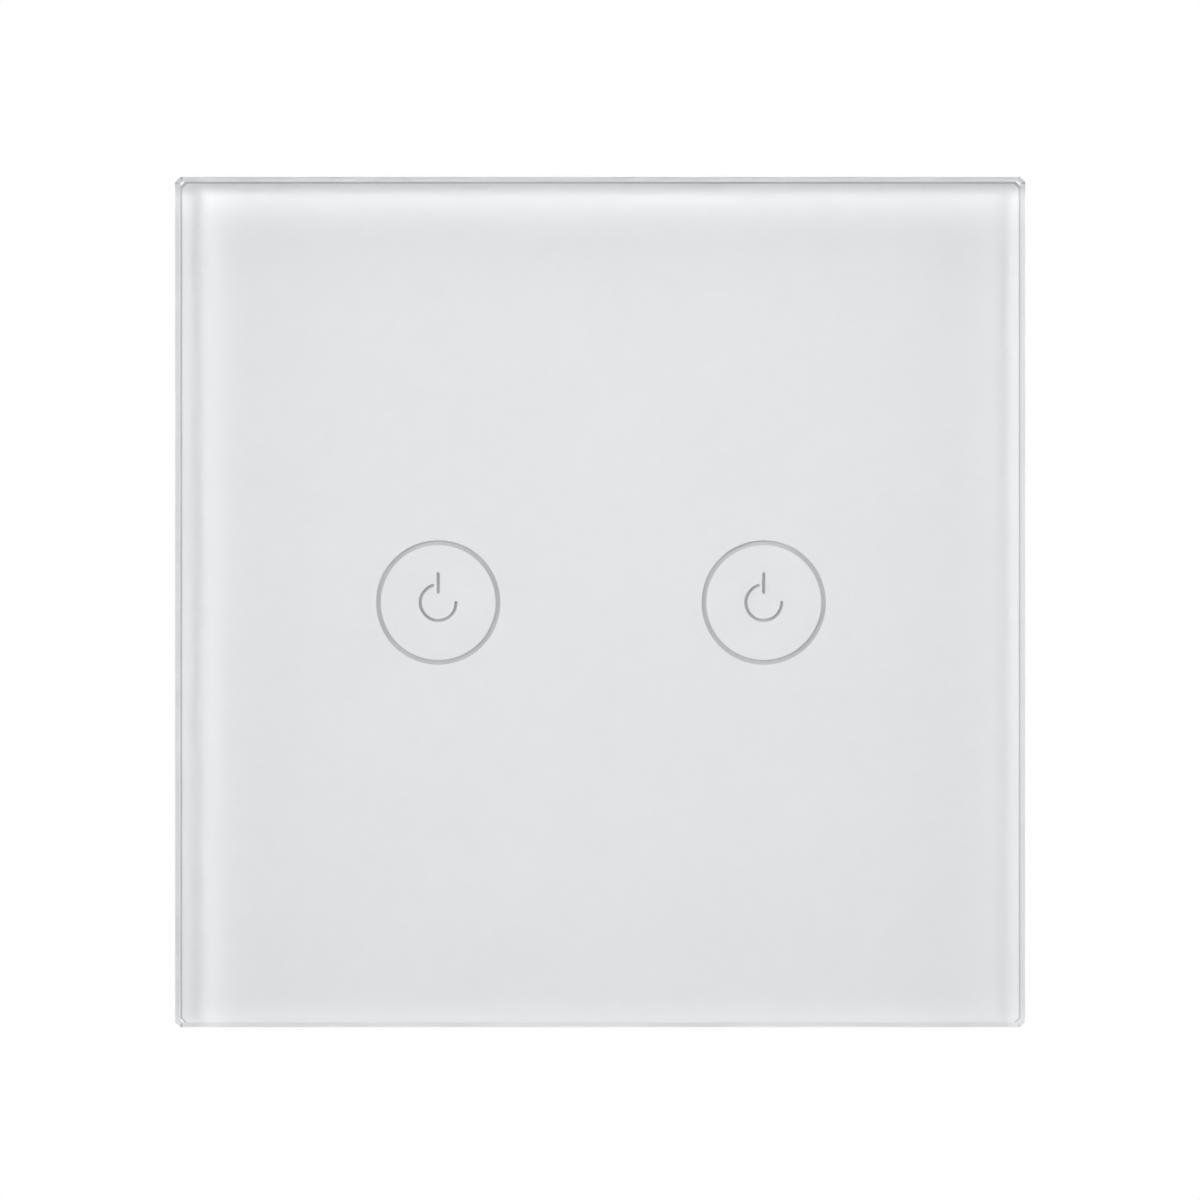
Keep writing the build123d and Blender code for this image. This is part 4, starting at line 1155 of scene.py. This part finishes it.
def makePowerBoard():
    s = powerSet
    front, back = boardSet["power"]
    dress(boardFinish("greenMask", (0.030, 0.155, 0.060), boardSet["power"]), "power_board")
    solder = solderFinish()
    joint = Shape().turned([(0, 0.01), (1.0, 0.01), (0.97, -0.05), (0.66, -0.18), (0.46, -0.42),
                            (0.40, -0.70), (0.34, -0.80), (0.30, -1.0), (0.22, -1.06), (0, -1.06)], 20)
    spots = solderSpots()
    scatter("board_joints", joint, [(x, front, z) for x, z, size in spots], solder, "green_board",
            sizes=[size for x, z, size in spots])
    tab = Shape().drawn([(-1.3, 0.0), (1.3, 0.0), (1.05, -0.1), (0.80, -0.5), (0.72, -0.75), (-0.72, -0.75),
                         (-0.80, -0.5), (-1.05, -0.1)], -1.0, 1.0, "Z", 0.2)
    scatter("tab_joints", tab, [(x, front, s["tabHeight"]) for x in screwSet["poles"]], solder, "green_board")
    pad = Shape().turned([(0, -0.01), (0.8, -0.01), (0.78, 0.05), (0.50, 0.12), (0.42, 0.30), (0.34, 0.42),
                          (0, 0.42)], 20)
    scatter("header_joints", pad, [(x, back, z) for x, z in s["pinSpots"]], solder, "green_board")

    # wide tracks on the front for the load, thin ones for the rest
    wide, thin = [], []
    low = s["tabHeight"]
    for side, x in zip((-1, 1), s["relays"]):
        near, far = x - side * 3.6, x + side * 3.6  # the relay's two columns of pins
        wide.append([(near, -14.8), (near, -15.4), (side * 5.1, low), (side * 3.75, low)])
        if side > 0:
            wide.append([(far, -14.8), (far, -15.6), (12.45, low), (11.25, low)])
        thin += [[(near, -2.8), (near, 1.0), (side * 5.08, 3.9), (side * 5.08, 22.0)],
                 [(far, -2.8), (far, 1.6), (x + side * 2.2, 3.0)], [(x, -0.4), (x, 3.0)]]
    thin += [[(-2.35, 15.5), (-2.35, 12.6), (-1.87, 12.1), (-1.87, 10.0)],
             [(1.15, 15.5), (1.15, 12.6), (0.67, 12.1), (0.67, 10.0)],
             [(0.0, 22.0), (0.0, 19.2), (1.15, 18.0), (1.15, 15.5)]]
    wide += [[(-17.8, 7.1), (-17.8, 10.1), (-15.3, 12.6), (-15.3, 17.1)],
             [(-7.8, 7.1), (-7.8, 10.1), (-10.3, 12.6), (-10.3, 17.1)],
             [(-17.8, 7.1), (-19.6, 5.3), (-19.6, -15.6), (-16.9, low), (-11.25, low)]]
    masked = inkLine("greenTrack", (0.045, 0.215, 0.085), 0.3)
    tracks("power_tracks_wide", wide, s["wideTrack"], front, masked, "green_board")
    tracks("power_tracks_thin", thin, s["thinTrack"], front, masked, "green_board")
    via = Shape().turned([(0, 0.01), (0.42, 0.01), (0.40, -0.04), (0.20, -0.045), (0.16, 0.0), (0, 0.0)], 16)
    vias = [(x + a, front, 3.0) for x in s["relays"] for a in (0.0, math.copysign(2.2, x))]
    scatter("board_vias", via, vias, solder, "green_board")

    # printed outlines on the back, round the parts
    outlines = [boxLine(x, s["relayMiddle"], s["relaySize"][0], s["relaySize"][2], 0.35) for x in s["relays"]]
    outlines += [boxLine(*s[part], *size) for part, size in s["outlines"].items()]
    outlines += [boxLine(*s["pinSpots"][2], *s["pinOutline"]), nearlyRound(*s["can"], s["canRing"], 65)]
    cream = inkLine("creamPrint", (0.78, 0.78, 0.74), 0.55)
    tracks("power_board_print", outlines, s["printWidth"], back, cream, "green_board",
           boardSet["printHeight"])
    print("power board ready")


def makeTransformer():
    # Wound coil under tape round the bobbin, inside the core
    s = powerSet
    back = boardSet["power"][1]
    x, z = s["transformer"]
    deep = s["bobbinDepth"]
    middle = back + deep / 2
    ferrite = Finish("ferriteAndBobbin")
    fx, fy, fz = [ferrite.axis(axis) for axis in "XYZ"]
    core = ferrite.inside(fz, z - s["coreHalf"], z + s["coreHalf"])
    core = core * ferrite.inside(fy, back + s["flange"], back + deep - s["flange"])
    speckle = ferrite.noise(0.22, 4.0, 0.7)
    chips = ferrite.step(ferrite.noise(1.6, 4.0, 0.6), 0.6, 0.7)
    split = ferrite.inside(fx, x - 0.06, x + 0.06, 0.03)
    sintered = ferrite.mix(speckle, (0.050, 0.049, 0.050), (0.105, 0.103, 0.102))
    sintered = ferrite.mix(split * 0.8, sintered, (0.015, 0.015, 0.015))
    bobbin = ferrite.mix(speckle, (0.018, 0.018, 0.018), (0.028, 0.027, 0.027))
    ferrite.surface(Base_Color=ferrite.mix(core, bobbin, sintered),
                    Roughness=ferrite.spread(speckle * 0.7 + chips * 0.3, 0.42, 0.62),
                    Normal=ferrite.bump(speckle, 0.01, 0.2))
    dress(ferrite.material, "transformer")
    copper = plated("enamelledCopper", (0.72, 0.30, 0.13), 0.22, 0.3, 0.10)
    width, height, corner = s["coil"]
    coil = grow(trees["winding"], None, "coil", Width=width * mm, Height=height * mm, Corner=corner * mm,
                Wire=s["wireRadius"] * mm, Pitch=s["wirePitch"] * mm, Turns=s["wireTurns"], Material=copper)
    first = middle - s["wirePitch"] * (s["wireTurns"] - 1) / 2
    place(shifted(coil, x, first, z), "transformer_winding", "base", "ferrite")
    tape = Finish("yellowTape")
    edge = tape.inside(tape.maths("FRACT", tape.axis("Y") * 0.32), 0.44, 0.5, 0.01)
    wrinkle = tape.noise(0.7, 4.0, 0.6, tape.place(scale=(1, 3, 1)))
    tape.surface(Base_Color=tape.mix(wrinkle * 0.6 + edge * 0.4, (0.80, 0.62, 0.10), (0.62, 0.44, 0.05)),
                 Roughness=tape.spread(wrinkle, 0.16, 0.34),
                 Normal=tape.bump(wrinkle * 0.7 + edge * 0.3, 0.02))
    wrap = Shape().twoBlocks((-4.85, middle - 2.4, 3.3), (4.85, middle + 2.9, 6.05), 2, 0.35, 3)
    place(shifted(wrap.mesh("tapeWrap"), x, 0, z), "transformer_tape", "base", "ferrite",
          material=tape.material)
    print("transformer ready")


def makeSmoothingCan():
    # Crimped can in a sleeve, scored at its closed end
    s = powerSet
    back = boardSet["power"][1]
    x, z = s["can"]
    r, h = s["canRadius"], s["canHeight"]
    profile = [(0, 0.35), (r - 0.75, 0.35), (r - 0.7, 0.1), (r - 0.35, 0.0), (r, 0.25), (r, 1.3)]
    for k in range(1, 8):  # the crimp that holds the bung
        profile.append((r - 0.42 * math.sin(math.pi * k / 8), 1.3 + 1.2 * k / 8))
    profile += [(r, 2.5), (r, h - 0.45), (r - 0.12, h - 0.14), (r - 0.42, h - 0.02), (r - 0.85, h),
                (r - 0.9, h - 0.12), (0, h - 0.12)]
    can = Shape().turned(profile, 56, at=(x, back, z)).mesh("can", 50)
    scores = []
    for angle in (0, 60, 120):
        cut = Shape().block((-2.3, -0.12, -0.12), (2.3, 0.3, 0.12)).mesh("score")
        cut.transform(Matrix.Rotation(math.radians(angle), 4, "Y"))
        scores.append(shifted(cut, x, back + h - 0.12, z))
    can = cutAway(can, *scores)
    sleeve = Finish("capacitorSleeve")
    sx, sy, sz = [sleeve.axis(axis) for axis in "XYZ"]
    away = sleeve.maths("SQRT", (sx - x) * (sx - x) + (sz - z) * (sz - z))
    bare = sleeve.step(sy, back + h - 0.2, back + h - 0.16) * (1 - sleeve.step(away, r - 0.95, r - 0.9))
    stripe = sleeve.inside(sx - x, -r - 1, -r + 0.9, 0.02) * (1 - bare)
    dash = sleeve.inside(sleeve.maths("FRACT", sy * 0.42), 0.3, 0.7, 0.01)
    dash = dash * sleeve.inside(sz - z, -0.35, 0.35, 0.02)
    film = sleeve.noise(1.5, 3.0, 0.5)
    scratch = sleeve.noise(0.3, 3.0, 0.7, sleeve.place(scale=(1, 0.2, 1)))
    tone = sleeve.mix(film, (0.020, 0.022, 0.040), (0.030, 0.033, 0.055))
    tone = sleeve.mix(stripe, tone, (0.42, 0.43, 0.44))
    tone = sleeve.mix(stripe * dash, tone, (0.02, 0.02, 0.035))
    aluminium = sleeve.mix(scratch, (0.52, 0.53, 0.54), (0.66, 0.66, 0.67))
    sleeve.surface(Base_Color=sleeve.mix(bare, tone, aluminium), Metallic=bare,
                   Roughness=sleeve.spread(scratch, 0.24, 0.38), Normal=sleeve.bump(film, 0.03))
    place(can, "smoothing_can", "base", "capacitor_sleeve", ["smoothing_capacitor"], sleeve.material)
    print("smoothing capacitor ready")


def makeVaristor():
    # A disc dipped in epoxy that runs down its leads
    s = powerSet
    back = boardSet["power"][1]
    x, z = s["varistor"]
    r, rim, half = s["varistorRadius"], s["varistorRim"], s["varistorThickness"] / 2
    profile = [(0, -half)]
    for k in range(13):
        a = -math.pi / 2 + math.pi * k / 12
        profile.append((r - rim + rim * math.cos(a), half * math.sin(a)))
    profile.append((0, half))
    disc = Shape().turned(profile, 56, at=(x, back + r, z), axis="Z")
    dip = [(0, -r + 0.15), (0.62, -r + 0.2), (0.66, -r + 0.7), (0.55, -r + 1.4), (0, -r + 1.5)]
    for side in (-1, 1):
        disc.turned(dip, 20, at=(x + side * 2.0, back + r - 0.1, z + side * 0.3))
    coating = Finish("dippedEpoxy")
    orange = coating.noise(0.45, 3.0, 0.5)
    runs = coating.noise(1.6, 3.0, 0.5, coating.place(scale=(1, 0.4, 1)))
    coating.surface(Base_Color=coating.mix(runs, (0.035, 0.11, 0.34), (0.05, 0.15, 0.42)),
                    Roughness=coating.spread(orange, 0.18, 0.3),
                    Normal=coating.bump(orange * 0.5 + runs * 0.5, 0.03))
    place(disc.mesh("varistorDisc", 60), "varistor_disc", "base", "varistor_coating", ["varistor"],
          coating.material)
    print("varistor ready")


def makeRelayNibs():
    # The mark that the mould leaves on each relay
    s = powerSet
    plastic = moulded("nibPlastic", mouldingSet["blueShell"][0], 0.3, 0.004, 0.35, 0.05)
    nib = Shape().turned([(0, 0.005), (0.9, 0.005), (0.82, 0.16), (0.55, 0.22), (0, 0.24)], 24)
    top = boardSet["power"][1] + s["relaySize"][1] - 0.02
    spots = [(x + s["nib"][0], top, s["relayMiddle"] + s["nib"][1]) for x in s["relays"]]
    scatter("relay_nibs", nib, spots, plastic, "relay_shell")
    print("relay nibs ready")


# Connector between the boards: black mouldings with plated pins

connectorSet = {
    "rowHeight": 22.0,  # Z of the row of pins
    "pinHalf": 0.33,
    "mouldingFrom": 6.7,  # Y where the header's moulding starts; it ends on the power board
}


def makeConnector():
    s = connectorSet
    finish = Finish("connectorMoulding")
    y, z = finish.axis("Y"), finish.axis("Z")
    fine = finish.noise(0.15, 3.0, 0.6)
    row = finish.inside(z, s["rowHeight"] - s["pinHalf"], s["rowHeight"] + s["pinHalf"], 0.005)
    pin = row * (1 - finish.inside(y, s["mouldingFrom"] - 0.01, boardSet["power"][0] + 0.01, 0.003))
    black = finish.mix(fine, (0.018, 0.018, 0.019), (0.030, 0.030, 0.031))
    gold = finish.mix(fine, (0.66, 0.50, 0.22), (0.78, 0.62, 0.30))
    finish.surface(Base_Color=finish.mix(pin, black, gold), Metallic=pin,
                   Roughness=finish.spread(fine, 0.42, 0.55) - pin * 0.22,
                   Normal=finish.bump(fine, 0.006, 0.08))
    dress(finish.material, "board_header")
    print("connector ready")


# Terminals: brass bars and plated cages

def makeTerminals():
    dress(plated("rolledBrass", (0.62, 0.44, 0.16), 0.28, 0.7, 0.10, "Z", 0.08), "contact_bars")
    zinc = plated("zincPlatedCage", (0.55, 0.56, 0.55), 0.34, 0.5, 0.10, "Z", 0.12)
    dress(zinc, *[f"terminal_cage_{i}" for i in range(1, len(screwSet["poles"]) + 1)])
    print("terminals ready")


# Foam tape between the glass and its frame

def makeAdhesive():
    finish = Finish("foamTape")
    pores = finish.cells(0.22)
    cloudy = finish.noise(3.0, 3.0, 0.6)
    tone = finish.mix(pores * 0.7 + cloudy * 0.3, (0.66, 0.66, 0.65), (0.78, 0.78, 0.77))
    finish.surface(Base_Color=tone, Roughness=finish.spread(pores, 0.75, 0.9),
                   Normal=finish.bump(pores, 0.03))
    dress(finish.material, "adhesive_sheet")
    print("tape ready")


# Mouldings that keep their shapes

mouldingSet = {  # colour, the grain's size and depth, gloss, clouds, softened edge, nodes that wear it
    "mouldedWhite": ((0.83, 0.83, 0.82), 0.28, 0.012, 0.5, 0.03, 0.12, ["panel_frame", "mounting_base"]),
    "mouldedCharcoal": ((0.028, 0.029, 0.031), 0.34, 0.016, 0.52, 0.08, 0.12, ["rear_housing"]),
    "opalGuide": ((0.60, 0.61, 0.62), 0.5, 0.004, 0.35, 0.02, 0.12,
                  ["light_guide_left", "light_guide_right"]),
    "blueShell": ((0.030, 0.105, 0.30), 0.5, 0.006, 0.24, 0.05, 0.3, ["relay_left", "relay_right"]),
    "filmBox": ((0.66, 0.50, 0.06), 0.4, 0.006, 0.3, 0.05, 0.3, ["suppression_capacitor"]),
    "fuseShell": ((0.055, 0.030, 0.020), 0.3, 0.006, 0.32, 0.08, 0.25, ["fuse"]),
    "bridgeEpoxy": ((0.022, 0.022, 0.023), 0.12, 0.008, 0.5, 0.12, 0.2, ["rectifier"]),
    "socketPlastic": ((0.022, 0.022, 0.023), 0.15, 0.006, 0.5, 0.12, 0.1, ["board_socket"]),
    "terminalGrey": ((0.36, 0.37, 0.37), 0.3, 0.012, 0.48, 0.04, 0.15, ["terminal_block"]),
}


def makeMouldings():
    for name, (*look, wearers) in mouldingSet.items():
        dress(moulded(name, *look), *wearers)
    print("mouldings ready")


# Everything is made here

makeStage()
trees = {"scatter": scatterTree(), "wire": wireTree(), "thread": threadTree(), "track": trackTree(),
         "winding": windingTree()}
dress(glassFinish(), "glass_panel")
print("glass ready")
makeSprings()
makeScrews()
makeTouchBoard()
makePowerBoard()
makeTransformer()
makeSmoothingCan()
makeVaristor()
makeRelayNibs()
makeConnector()
makeTerminals()
makeAdhesive()
makePrint()
makeMouldings()
